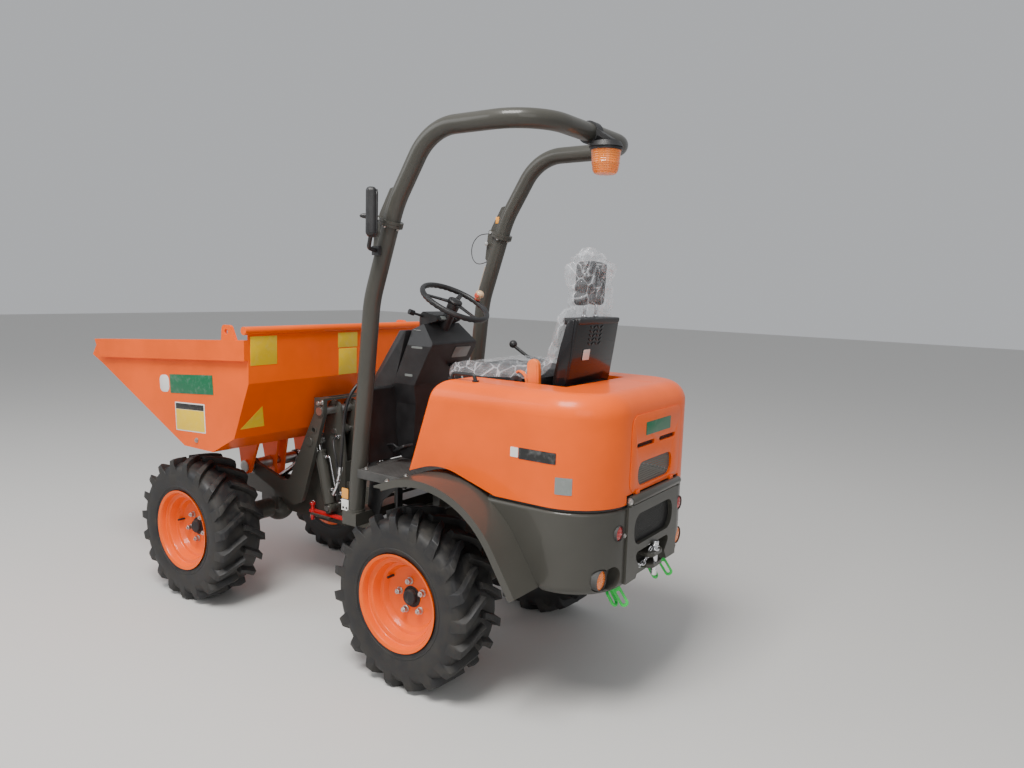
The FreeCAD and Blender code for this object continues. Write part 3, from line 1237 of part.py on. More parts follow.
nodes["seat_back"] = group(seat_back, headrest())
belt_x = SEAT_REAR_X - 38
belt_top = SEAT_CUSHION_TOP_Z + 55
belt_cover = plate_y([
    (belt_x, cushion_z, 8), (belt_x + 58, cushion_z, 8),
    (belt_x + 66, belt_top, 28), (belt_x + 8, belt_top, 28),
], SEAT_HALF_WIDTH + 1, SEAT_HALF_WIDTH + 27)
nodes["belt_covers"] = group(*both_sides(belt_cover))


def grab_handle():
    y = BODY_HALF_WIDTH - BONNET_TOP_ROUND + 3
    top = BONNET_TOP_Z + HANDLE_RISE
    base = BONNET_TOP_Z + SEAT_GAP
    rear = HANDLE_REAR_X
    front = HANDLE_REAR_X + HANDLE_LENGTH
    route = [V(rear, y, base), V(rear + 8, y, top), V(front - 10, y, top), V(front, y, base)]
    bar = pipe(route, [14.0, 14.0], 8.0)
    feet = [Part.makeCylinder(15, 5, V(x, y, base), Z) for x in (rear, front)]
    whole = fuse(bar, *feet)
    return whole.cut(bonnet_form(0.0))


nodes["grab_handle"] = grab_handle()


# Driver's place
def floor_plate():
    low = FLOOR_Z - FLOOR_PLATE
    rear = box(FLOOR_REAR_X, FLOOR_FRONT_X, -FLOOR_HALF_WIDTH, FLOOR_HALF_WIDTH, low, FLOOR_Z)
    nose = box(FLOOR_FRONT_X, FLOOR_NOSE_X, -FLOOR_NOSE_HALF, FLOOR_NOSE_HALF, low, FLOOR_Z)
    apron_y = FLOOR_HALF_WIDTH - FLOOR_PLATE
    apron = box(FLOOR_REAR_X, FLOOR_FRONT_X, apron_y, FLOOR_HALF_WIDTH, FLOOR_Z - 40, FLOOR_Z)
    return fuse(rear, nose, *both_sides(apron))


tilt = math.radians(COLUMN_TILT)
column_axis = V(-math.sin(tilt), 0, math.cos(tilt))
hub = V(WHEEL_HUB_X, 0, WHEEL_HUB_Z)
column_top = hub - column_axis * (STEERING_BOSS_LENGTH + SEAT_GAP)
column = rod(hub - column_axis * COLUMN_LENGTH, column_top, COLUMN_RADIUS)


def console():
    """Cowl round the steering column: waisted flanks, a leaning top and cut front corners."""
    base = FLOOR_Z + SEAT_GAP
    knee_z = WHEEL_HUB_Z - 442
    brow_x = WHEEL_HUB_X + 153
    brow_z = WHEEL_HUB_Z - 140
    front = CONSOLE_FRONT_X
    side = [
        # x, z, corner radius
        (WHEEL_HUB_X + 179, base),
        (front, FLOOR_Z + 60),
        (front, knee_z),
        (brow_x, brow_z),
        (WHEEL_HUB_X + 81, WHEEL_HUB_Z - 107),
        (WHEEL_HUB_X - 9, WHEEL_HUB_Z - 197, 15),
        (WHEEL_HUB_X + 101, WHEEL_HUB_Z - 407, 60),
        (WHEEL_HUB_X + 121, base),
    ]
    half = CONSOLE_HALF_WIDTH
    waist = half - CONSOLE_WAIST
    flank = [
        # z, half width
        (base, waist),
        (WHEEL_HUB_Z - 500, waist),
        (WHEEL_HUB_Z - 400, half),
        (WHEEL_HUB_Z - 210, half),
        (WHEEL_HUB_Z - 100, half - CONSOLE_CROWN),
    ]
    front_view = [(width, z) for z, width in flank] + [(-width, z) for z, width in reversed(flank)]
    plan = [
        # x, y: chamfered front corners
        (front, CONSOLE_CHAMFER - half), (front, half - CONSOLE_CHAMFER), (front - CONSOLE_CHAMFER, half),
        (front - 500, half), (front - 500, -half), (front - CONSOLE_CHAMFER, -half),
    ]
    below_knee = plate_z(plan, base - 10, knee_z)
    lean = V(brow_x - front, 0, brow_z - knee_z)
    above_knee = prism(plan, lambda x, y: V(x, y, knee_z), lean * 1.5)
    cowl = plate_y(side, -half, half).common(plate_x(front_view, WHEEL_HUB_X - 100, front + 100))
    return cowl.common(fuse(below_knee, above_knee))


def steering_column():
    """Column, the hooded instrument pod on top of the console and the control stalk beside it."""
    x = WHEEL_HUB_X
    z = WHEEL_HUB_Z
    pod = plate_y([
        (x + 153, z - 139.5), (x + 81, z - 106.5), (x + 31, z - 89, 10), (x + 46, z - 65, 15),
        (x + 111, z - 47, 20), (x + 166, z - 92, 20),
    ], -POD_HALF_WIDTH, POD_HALF_WIDTH)
    half = POD_HALF_WIDTH
    left = [(x, half - 30), (x + 70, half), (x + 130, half, 30), (x + 180, half - 50)]
    right = [(point[0], -point[1], *point[2:]) for point in reversed(left)]
    pod = pod.common(plate_z(left + right, z - 150, z))
    elbow = V(x + 126, half + 50, z - 57)
    stalk = rod(V(x + 111, half - 15, z - 75), elbow, STALK_RADIUS)
    tip = rod(elbow, elbow + V(7, 25, 8), STALK_RADIUS + 7)
    return fuse(column, pod, stalk, tip)


def steering_wheel():
    ring = Part.makeTorus(STEERING_RADIUS, STEERING_RIM_RADIUS, hub, column_axis)
    boss = rod(hub - column_axis * STEERING_BOSS_LENGTH, hub + column_axis * 5, STEERING_BOSS_RADIUS)
    spokes = []
    flat = column_axis.cross(Y)
    for angle in (90, 210, 330):
        out = Y * math.cos(math.radians(angle)) + flat * math.sin(math.radians(angle))
        spokes.append(rod(hub - column_axis * 20, hub + out * STEERING_RADIUS, STEERING_SPOKE_RADIUS))
    return fuse(ring, boss, *spokes)


def spinner_knob():
    foot = hub - Y * STEERING_RADIUS + column_axis * (STEERING_RIM_RADIUS + SEAT_GAP)
    stem = rod(foot, foot + column_axis * 14, KNOB_RADIUS * 0.6)
    ball = Part.makeSphere(KNOB_RADIUS, foot + column_axis * (14 + KNOB_RADIUS * 0.8))
    return fuse(stem, ball)


nodes["floor_plate"] = floor_plate()
column_bore = rod(hub - column_axis * (COLUMN_LENGTH + SEAT_GAP), hub, COLUMN_RADIUS + SEAT_GAP)
nodes["console"] = console().cut(column_bore)
nodes["steering_column"] = steering_column()
nodes["steering_wheel"] = group(steering_wheel(), spinner_knob())


# Roll bar: fixed posts, hoop above the folding joint
joint = V(JOINT_X, 0, JOINT_Z)
up = V(JOINT_X - POST_BEND_X, 0, JOINT_Z - POST_BEND_Z).normalize()
out = V(up.z, 0, -up.x)
FOLD_AXIS = joint + out * FOLD_PIN_OFFSET


def at_joint(a, b):
    """X and Z of a place a in front of the joint's middle and b above its face."""
    place = joint + out * a + up * b
    return (place.x, place.z)


def flange(b0, b1, y):
    """Round plate across a tube, cut back where it nears the fold pin."""
    disc = rod(joint + Y * y + up * b0, joint + Y * y + up * b1, FLANGE_RADIUS)
    front = FOLD_PIN_OFFSET - FOLD_KNUCKLE_RADIUS - FOLD_PLAY
    keep = [at_joint(-200, b0 - 1), at_joint(front, b0 - 1), at_joint(front, b1 + 1), at_joint(-200, b1 + 1)]
    return disc.common(plate_y(keep, y - 200, y + 200))


def gusset(sign, y0, y1):
    """Tapered web on the front of a tube that carries a knuckle of the fold pin."""
    front = FOLD_PIN_OFFSET + FOLD_KNUCKLE_RADIUS - 2
    outline = [
        at_joint(POST_RADIUS - 6, sign * (JOINT_GAP / 2 + 1)),
        at_joint(front, sign * (JOINT_GAP / 2 + 1)),
        at_joint(front, sign * 24),
        at_joint(POST_RADIUS + 10, sign * (FOLD_GUSSET_LENGTH - 10)),
        at_joint(POST_RADIUS - 6, sign * FOLD_GUSSET_LENGTH),
    ]
    knuckle_part = cross_rod(FOLD_AXIS.x, FOLD_AXIS.z, FOLD_KNUCKLE_RADIUS, y0, y1)
    return fuse(plate_y(outline, y0, y1), knuckle_part)


def roll_post():
    """The left post: bent tube with a foot, a flange at the fold and two cheeks for the fold pin."""
    foot = V(POST_BEAM_X, POST_Y, FRAME_TOP_Z + SEAT_GAP)
    bend = V(POST_BEND_X, POST_Y, POST_BEND_Z)
    top = joint + Y * POST_Y - up * (JOINT_GAP / 2 + 2)
    post = hollow_pipe([foot, bend, top], [POST_BEND_RADIUS], POST_RADIUS, POST_WALL)
    foot_plate = Part.makeCylinder(POST_RADIUS + 5, 10, foot, Z)
    cheeks = []
    ear_half = FOLD_EAR / 2 + FOLD_PLAY
    for y0 in (POST_Y + ear_half, POST_Y - ear_half - FOLD_CHEEK):
        cheeks.append(gusset(-1, y0, y0 + FOLD_CHEEK))
    inside = pipe([foot, bend, top], [POST_BEND_RADIUS], POST_RADIUS - POST_WALL)
    cheeks = [cheek.cut(inside) for cheek in cheeks]
    pin_cut = cross_rod(FOLD_AXIS.x, FOLD_AXIS.z, FOLD_PIN_RADIUS, POST_Y - 60, POST_Y + 60)
    whole = fuse(post, foot_plate, flange(-JOINT_GAP / 2 - FLANGE_THICKNESS, -JOINT_GAP / 2, POST_Y), *cheeks)
    return whole.cut([pin_cut, box(foot.x - 80, foot.x + 80, POST_Y - 80, POST_Y + 80, 0, foot.z)])


def roll_hoop():
    """The folding part: two legs, the crossbar, a flange and an ear at each joint."""
    start = joint + Y * POST_Y + up * (JOINT_GAP / 2 + 2)
    neck = joint + Y * POST_Y + up * HOOP_NECK
    left = [start, neck, V(HOOP_SHOULDER_X, POST_Y, HOOP_TOP_Z - 5), V(HOOP_REAR_X, POST_Y, HOOP_TOP_Z)]
    points = left + [V(p.x, -p.y, p.z) for p in reversed(left)]
    bends = [POST_BEND_RADIUS, HOOP_BEND_RADIUS, HOOP_CORNER_RADIUS]
    bends = bends + bends[::-1]
    bar = hollow_pipe(points, bends, POST_RADIUS, POST_WALL)
    inside = pipe(points, bends, POST_RADIUS - POST_WALL)
    ear = gusset(1, POST_Y - FOLD_EAR / 2, POST_Y + FOLD_EAR / 2).cut(inside)
    plate = flange(JOINT_GAP / 2, JOINT_GAP / 2 + FLANGE_THICKNESS, POST_Y)
    bore = cross_rod(FOLD_AXIS.x, FOLD_AXIS.z, FOLD_PIN_RADIUS + RUNNING_GAP, -POST_Y - 60, POST_Y + 60)
    return fuse(bar, *both_sides(ear), *both_sides(plate)).cut(bore)


post_shape = roll_post()
nodes["roll_post_left"] = post_shape
nodes["roll_post_right"] = mirrored(post_shape)
nodes["roll_hoop"] = roll_hoop()
pin_half = FOLD_EAR / 2 + FOLD_PLAY + FOLD_CHEEK + 4
nodes["fold_pins"] = group(*both_sides(
    cross_rod(FOLD_AXIS.x, FOLD_AXIS.z, FOLD_PIN_RADIUS, POST_Y - pin_half, POST_Y + pin_half)))


# Mirror, beacon and lock bar
def mirror():
    """Oval housing on a cranked arm from the left post."""
    housing = Part.makeBox(MIRROR_THICKNESS, MIRROR_WIDTH, MIRROR_HEIGHT,
                           V(-MIRROR_THICKNESS / 2, -MIRROR_WIDTH / 2, -MIRROR_HEIGHT / 2))
    housing = housing.makeFillet(MIRROR_ROUND, housing.Edges)
    housing.rotate(V(0, 0, 0), Z, MIRROR_TURN)
    housing.translate(V(MIRROR_X, MIRROR_Y, MIRROR_Z))
    clamp_drop = 121.0
    clamp_z = JOINT_Z - clamp_drop
    clamp_x = JOINT_X + clamp_drop * (POST_BEND_X - JOINT_X) / (JOINT_Z - POST_BEND_Z)
    clamp_y = POST_Y + POST_RADIUS + SEAT_GAP
    clamp = box(clamp_x - 20, clamp_x + 20, clamp_y, clamp_y + 18, clamp_z - 20, clamp_z + 20)
    low = MIRROR_Z - MIRROR_HEIGHT / 2 + 20
    elbow = V(clamp_x - 10, MIRROR_Y - 30, clamp_z + 8)
    points = [V(clamp_x, clamp_y + 10, clamp_z), elbow, V(MIRROR_X, MIRROR_Y, low)]
    return fuse(clamp, housing, pipe(points, [30.0], MIRROR_ARM_RADIUS))


def beacon_base():
    """Cap with a strap that clamps it to the crossbar."""
    half = BEACON_CLAMP_HALF
    clamp_outer = POST_RADIUS + SEAT_GAP + BEACON_CLAMP_WALL
    ring = tube(V(HOOP_REAR_X, -half, HOOP_TOP_Z), V(HOOP_REAR_X, half, HOOP_TOP_Z), clamp_outer,
                POST_RADIUS + SEAT_GAP)
    seat = V(BEACON_X, 0, BEACON_Z)
    cap = Part.makeCone(BEACON_CAP_RADIUS, BEACON_CAP_RADIUS - 14, BEACON_CAP_HEIGHT, seat, Z)
    top = BEACON_Z + BEACON_CAP_HEIGHT
    strap = plate_y([
        (BEACON_X - 30, top - 4), (HOOP_REAR_X - clamp_outer + 12, HOOP_TOP_Z - 12, 15),
        (HOOP_REAR_X - clamp_outer + 1, HOOP_TOP_Z + 8), (BEACON_X - 30, top + 12, 10),
    ], -half, half)
    bar = cross_rod(HOOP_REAR_X, HOOP_TOP_Z, POST_RADIUS + SEAT_GAP, -200, 200)
    return fuse(ring, cap, strap).cut(bar)


def beacon_lens():
    low = BEACON_Z - SEAT_GAP - BEACON_HEIGHT
    lens = Part.makeCone(BEACON_LOW_RADIUS, BEACON_TOP_RADIUS, BEACON_HEIGHT, V(BEACON_X, 0, low), Z)
    return lens.makeFillet(18.0, edges_on(lens, lambda m: m.z < low + 0.1))


def lock_bar():
    """Steering lock bar parked on its shelf, with its pin at the front."""
    low = LOCK_BAR_Z - 12 + SEAT_GAP
    bar = plate_z([
        (LOCK_BAR_REAR_X, LOCK_BAR_Y - 14, 13), (LOCK_BAR_FRONT_X, LOCK_BAR_Y - 14, 13),
        (LOCK_BAR_FRONT_X, LOCK_BAR_Y + 14, 13), (LOCK_BAR_REAR_X, LOCK_BAR_Y + 14, 13),
    ], low, low + 12)
    pin_x = LOCK_BAR_FRONT_X + 14
    eye = rod(V(pin_x, LOCK_BAR_Y, low), V(pin_x, LOCK_BAR_Y, low + 12), 20.0)
    pin = rod(V(pin_x, LOCK_BAR_Y, low - 45), V(pin_x, LOCK_BAR_Y, low + 48), 10.0)
    head = rod(V(pin_x, LOCK_BAR_Y, low + 40), V(pin_x, LOCK_BAR_Y, low + 52), 16.0)
    return fuse(bar, eye, pin, head)


nodes["mirror"] = mirror()
nodes["beacon_base"] = beacon_base()
nodes["beacon_lens"] = beacon_lens()
nodes["lock_bar"] = lock_bar()

for node_name, shape in nodes.items():
    shape.exportStep(os.path.join("parts", node_name + ".step"))
    solids = len(shape.Solids)
    if not shape.isValid() or solids == 0:
        print("check", node_name, shape.isValid(), solids)
print(len(nodes), "nodes")
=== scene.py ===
import json
import math

import bpy
import bmesh
from mathutils import Matrix, Vector, noise


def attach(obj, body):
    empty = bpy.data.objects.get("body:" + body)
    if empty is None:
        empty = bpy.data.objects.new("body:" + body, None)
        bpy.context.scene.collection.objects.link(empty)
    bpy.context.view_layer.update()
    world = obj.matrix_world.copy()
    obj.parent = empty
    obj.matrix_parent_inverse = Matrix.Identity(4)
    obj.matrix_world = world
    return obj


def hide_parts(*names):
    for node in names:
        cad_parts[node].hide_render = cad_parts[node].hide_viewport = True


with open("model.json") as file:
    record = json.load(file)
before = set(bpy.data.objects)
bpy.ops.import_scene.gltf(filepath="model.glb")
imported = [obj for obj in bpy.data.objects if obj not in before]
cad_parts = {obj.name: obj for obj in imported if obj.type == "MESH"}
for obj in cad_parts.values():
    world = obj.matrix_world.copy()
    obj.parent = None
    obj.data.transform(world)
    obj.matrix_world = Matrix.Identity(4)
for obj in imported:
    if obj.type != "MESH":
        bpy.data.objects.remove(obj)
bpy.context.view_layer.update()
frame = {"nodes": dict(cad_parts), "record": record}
CAD = frame["nodes"]


# Shader maths: a socket that writes Math nodes when it stands in an expression
class Value:
    def __init__(self, finish, socket):
        self.finish = finish
        self.socket = socket

    def _math(self, operation, *operands):
        return self.finish.add("ShaderNodeMath", {"operation": operation}, dict(enumerate(operands)))

    def __add__(self, other):
        return self._math("ADD", self, other)

    def __radd__(self, other):
        return self._math("ADD", other, self)

    def __sub__(self, other):
        return self._math("SUBTRACT", self, other)

    def __rsub__(self, other):
        return self._math("SUBTRACT", other, self)

    def __mul__(self, other):
        return self._math("MULTIPLY", self, other)

    def __rmul__(self, other):
        return self._math("MULTIPLY", other, self)

    def __truediv__(self, other):
        return self._math("DIVIDE", self, other)

    def __gt__(self, other):
        return self._math("GREATER_THAN", self, other)

    def __lt__(self, other):
        return self._math("LESS_THAN", self, other)

    def sine(self):
        return self._math("SINE", self)

    def smaller(self, other):
        return self._math("MINIMUM", self, other)

    def larger(self, other):
        return self._math("MAXIMUM", self, other)

    def size(self):
        return self._math("ABSOLUTE", self)

    def fraction(self):
        return self._math("FRACT", self)

    def power(self, other):
        return self._math("POWER", self, other)


class Finish:
    """One material of this machine and the nodes in it."""

    def __init__(self, name, colour, roughness, metallic=0.0, coat=0.0, specular=0.5):
        self.material = bpy.data.materials.new(name)
        self.material.use_nodes = True
        self.tree = self.material.node_tree
        self.shader = self.tree.nodes["Principled BSDF"]
        self.set("Base Color", (*colour, 1.0))
        self.set("Roughness", roughness)
        self.set("Metallic", metallic)
        self.set("Coat Weight", coat)
        self.set("Specular IOR Level", specular)
        self.heights = []

    def set(self, socket, value):
        """Give a shader socket a number, a colour or a link."""
        target = self.shader.inputs[socket]
        if isinstance(value, Value):
            self.tree.links.new(value.socket, target)
        else:
            target.default_value = value

    def add(self, kind, settings, inputs, output=0):
        """A node with its settings made first, then the values or links of its sockets."""
        node = self.tree.nodes.new(kind)
        for key, setting in settings.items():
            if key == "stops":
                ramp = node.color_ramp
                while len(ramp.elements) < len(setting):
                    ramp.elements.new(0.5)
                for element, (place, shade) in zip(ramp.elements, setting):
                    element.position = place
                    element.color = shade if len(shade) == 4 else (*shade, 1.0)
            else:
                setattr(node, key, setting)
        for key, value in inputs.items():
            if isinstance(value, Value):
                self.tree.links.new(value.socket, node.inputs[key])
            else:
                node.inputs[key].default_value = value
        return Value(self, node.outputs[output])

    def place(self, scale=(1.0, 1.0, 1.0), turn=(0.0, 0.0, 0.0), shift=(0.0, 0.0, 0.0)):
        """Object coordinates, scaled and turned for a pattern."""
        source = self.add("ShaderNodeTexCoord", {}, {}, "Object")
        return self.add("ShaderNodeMapping", {}, {"Vector": source, "Scale": scale, "Rotation": turn, "Location": shift})

    def axis(self, letter):
        source = self.add("ShaderNodeTexCoord", {}, {}, "Object")
        return self.add("ShaderNodeSeparateXYZ", {}, {"Vector": source}, "XYZ".index(letter))

    def speckle(self, scale, detail=4.0, rough=0.55, place=None):
        place = place or self.place()
        return self.add("ShaderNodeTexNoise", {}, {"Vector": place, "Scale": scale, "Detail": detail, "Roughness": rough})

    def cells(self, scale, feature="F1", place=None):
        place = place or self.place()
        return self.add("ShaderNodeTexVoronoi", {"feature": feature}, {"Vector": place, "Scale": scale}, "Distance")

    def ramp(self, value, *stops):
        """A value turned into colours or grey levels at the named stops."""
        shades = [(place, (shade,) * 3 if isinstance(shade, float) else shade) for place, shade in stops]
        return self.add("ShaderNodeValToRGB", {"stops": shades}, {"Fac": value})

    def mix(self, share, low, high):
        low = low if isinstance(low, Value) else (*low, 1.0)
        high = high if isinstance(high, Value) else (*high, 1.0)
        return self.add("ShaderNodeMix", {"data_type": "RGBA"}, {0: share, 6: low, 7: high}, 2)

    def between(self, share, low, high):
        return low + share * (high - low)

    def raised(self, height, strength, distance):
        """A bump that adds to the ones given before it."""
        inputs = {"Height": height, "Strength": strength, "Distance": distance}
        if self.heights:
            inputs["Normal"] = self.heights[-1]
        bump = self.add("ShaderNodeBump", {}, inputs)
        self.heights.append(bump)
        self.set("Normal", bump)

    def facing_up(self):
        """1 on faces that look up, 0 on the others."""
        normal = self.add("ShaderNodeNewGeometry", {}, {}, "Normal")
        return self.add("ShaderNodeSeparateXYZ", {}, {"Vector": normal}, 2).larger(0.0)


def paint(name, colour, roughness, coat, dust=0.25, dust_colour=(0.42, 0.38, 0.32)):
    """Sprayed paint: faint mottling, orange peel, fine scratches and dust low down and on top."""
    finish = Finish(name, colour, roughness, coat=coat, specular=0.22)
    mottle = finish.speckle(3.0, 3.0)
    darker = tuple(0.88 * part for part in colour)
    lighter = tuple(min(1.0, 1.06 * part) for part in colour)
    base = finish.mix(finish.ramp(mottle, (0.3, 0.0), (0.7, 1.0)), darker, lighter)
    streaks = finish.speckle(60.0, 5.0, 0.7, finish.place(scale=(1.0, 1.0, 0.15)))
    low = finish.ramp(finish.axis("Z"), (0.0, 1.0), (0.85, 0.0))
    settled = finish.facing_up().power(3.0) * 0.35 + low * 0.65
    film = finish.ramp(streaks * settled, (0.18, 0.0), (0.6, 1.0)) * dust
    finish.set("Base Color", finish.mix(film, base, dust_colour))
    scratches = finish.ramp(finish.speckle(9.0, 2.0, 0.5, finish.place(scale=(1.0, 1.0, 24.0))), (0.62, 0.0), (0.7, 1.0))
    finish.set("Roughness", finish.between(film, roughness, roughness + 0.35) + scratches * 0.06)
    finish.set("Coat Weight", coat * (1.0 - film))
    finish.raised(finish.speckle(420.0, 2.0), 0.035, 0.0006)
    finish.raised(finish.speckle(7.0, 2.0), 0.05, 0.01)
    return finish


def plastic(name, colour, roughness, grain=900.0, strength=0.25):
    """Moulded plastic with a leather-like grain and a little dust in it."""
    finish = Finish(name, colour, roughness)
    grain_field = finish.cells(grain)
    cloud = finish.speckle(12.0, 4.0)
    worn = tuple(min(1.0, 1.9 * part + 0.01) for part in colour)
    finish.set("Base Color", finish.mix(finish.ramp(cloud, (0.4, 0.0), (0.75, 0.6)), colour, worn))
    finish.set("Roughness", finish.between(cloud, roughness - 0.08, roughness + 0.12))
    finish.raised(grain_field, strength, 0.0008)
    return finish


def metal(name, colour, roughness, streak=(1.0, 1.0, 30.0)):
    """Bare or plated metal with fine drawn lines and handling marks."""
    finish = Finish(name, colour, roughness, metallic=1.0)
    lines = finish.speckle(140.0, 3.0, 0.6, finish.place(scale=streak))
    marks = finish.speckle(18.0, 5.0, 0.65)
    dull = tuple(0.62 * part for part in colour)
    finish.set("Base Color", finish.mix(finish.ramp(marks, (0.45, 0.0), (0.8, 1.0)), colour, dull))
    finish.set("Roughness", roughness + lines * 0.12 + finish.ramp(marks, (0.5, 0.0), (0.8, 1.0)) * 0.15)
    finish.raised(lines, 0.06, 0.0004)
    return finish


def tyre_rubber():
    """Black tyre rubber, chalky where dust has dried in and scuffed on the lugs."""
    finish = Finish("tyre_rubber", (0.018, 0.018, 0.019), 0.6)
    fine = finish.speckle(260.0, 4.0, 0.6)
    cloud = finish.speckle(14.0, 5.0, 0.6)
    dusty = finish.ramp(cloud, (0.42, 0.0), (0.72, 1.0))
    finish.set("Base Color", finish.mix(dusty * 0.55, (0.010, 0.010, 0.011), (0.062, 0.055, 0.045)))
    finish.set("Roughness", finish.between(dusty, 0.46, 0.78) + fine * 0.08)
    finish.raised(fine, 0.22, 0.0009)
    return finish


def perforated(name, colour, pitch, hole):
    """Sheet steel with rows of round holes cut right through."""
    finish = paint(name, colour, 0.45, 0.1, dust=0.15)
    across = finish.axis("Y") / pitch
    up = finish.axis("Z") / (pitch * 0.866)
    row = (up - up.fraction()) * 0.5
    u = (across + row.fraction() * 1.0).fraction() - 0.5
    v = (up.fraction() - 0.5) * 0.866
    radius = (u * u + v * v).power(0.5)
    finish.set("Alpha", radius > hole / pitch / 2.0)
    return finish


def lens(name, colour, ribs):
    """Tinted lamp plastic over a reflector, with moulded ribs."""
    finish = Finish(name, colour, 0.12, coat=0.6)
    finish.shader.inputs["Transmission Weight"].default_value = 0.35
    finish.shader.inputs["IOR"].default_value = 1.49
    bright = tuple(min(1.0, 1.5 * part + 0.05) for part in colour)
    waves = (finish.axis("Z") * ribs).sine() * 0.5 + 0.5
    finish.set("Base Color", finish.mix(waves * 0.5, colour, bright))
    finish.set("Emission Color", (*colour, 1.0))
    finish.shader.inputs["Emission Strength"].default_value = 0.12
    finish.raised(waves, 0.5, 0.002)
    return finish


def vinyl():
    """Seat cover: black grained vinyl, shinier where it is pulled tight."""
    finish = Finish("seat_vinyl", (0.022, 0.022, 0.024), 0.5)
    grain = finish.cells(620.0)
    crease = finish.speckle(22.0, 3.0, 0.6, finish.place(scale=(1.0, 1.0, 2.5)))
    finish.set("Base Color", finish.mix(finish.ramp(crease, (0.4, 0.0), (0.7, 1.0)), (0.018, 0.018, 0.02), (0.045, 0.044, 0.045)))
    finish.set("Roughness", finish.between(crease, 0.38, 0.62))
    finish.raised(grain, 0.3, 0.0007)
    finish.raised(crease, 0.15, 0.004)
    return finish


def decal(name, colour, edge=(0.6, 0.6, 0.58)):
    """Printed film stuck on paint: flat colour, fine print grain, a little chalking and lifted specks."""
    finish = Finish(name, colour, 0.42, coat=0.15)
    chalk = finish.ramp(finish.speckle(30.0, 5.0, 0.65), (0.5, 0.0), (0.85, 1.0))
    specks = finish.ramp(finish.cells(260.0), (0.02, 1.0), (0.05, 0.0))
    worn = finish.mix(chalk * 0.22, colour, edge)
    finish.set("Base Color", finish.mix(specks * 0.35, worn, tuple(0.5 * part for part in colour)))
    finish.set("Roughness", finish.between(chalk, 0.36, 0.6))
    finish.raised(finish.speckle(500.0, 2.0), 0.08, 0.0003)
    return finish


def clear_film():
    """Thin clear wrapping: nearly see-through, milky along its creases and in patches, partly real whitening of the
    film and partly painted highlight on its folds.
    """
    finish = Finish("clear_film", (0.86, 0.88, 0.92), 0.12, coat=0.4)
    wide = finish.speckle(9.0, 3.0, 0.6)
    fold = finish.add("ShaderNodeMapping", {}, {"Vector": finish.place(), "Scale": (1.0, 1.6, 0.8)})
    crease = 1.0 - finish.ramp(finish.cells(15.0, "DISTANCE_TO_EDGE", fold), (0.0, 0.0), (0.06, 1.0))
    fine = 1.0 - finish.ramp(finish.cells(40.0, "DISTANCE_TO_EDGE"), (0.0, 0.0), (0.05, 1.0))
    patches = finish.ramp(wide, (0.42, 0.0), (0.70, 1.0))
    # Whiter, more opaque creases and patches: partly real whitening of the film, partly painted highlight on the folds.
    milk_and_highlight = (crease * 0.45 + crease * patches * 0.35 + fine * patches * 0.12 + patches * 0.16).smaller(1.0)
    finish.set("Alpha", finish.between(milk_and_highlight, 0.09, 0.62))
    finish.set("Roughness", finish.between(milk_and_highlight, 0.05, 0.25))
    finish.raised(crease, 0.5, 0.003)
    return finish


def mirror_glass():
    finish = Finish("mirror_glass", (0.78, 0.80, 0.82), 0.03, metallic=1.0)
    dust = finish.ramp(finish.speckle(24.0, 5.0, 0.7), (0.5, 0.0), (0.8, 1.0))
    finish.set("Roughness", finish.between(dust, 0.02, 0.14))
    finish.set("Base Color", finish.mix(dust * 0.3, (0.78, 0.80, 0.82), (0.5, 0.49, 0.46)))
    return finish


def hose_rubber():
    """Hydraulic hose: black rubber with a faint wrapped-cloth texture."""
    finish = Finish("hose_rubber", (0.016, 0.016, 0.017), 0.5)
    wrap = finish.cells(420.0, "F1", finish.place(scale=(1.0, 1.0, 0.4)))
    dust = finish.ramp(finish.speckle(20.0, 4.0), (0.45, 0.0), (0.8, 1.0))
    finish.set("Base Color", finish.mix(dust * 0.4, (0.014, 0.014, 0.015), (0.10, 0.09, 0.08)))
    finish.set("Roughness", finish.between(dust, 0.42, 0.7))
    finish.raised(wrap, 0.3, 0.0006)
    return finish


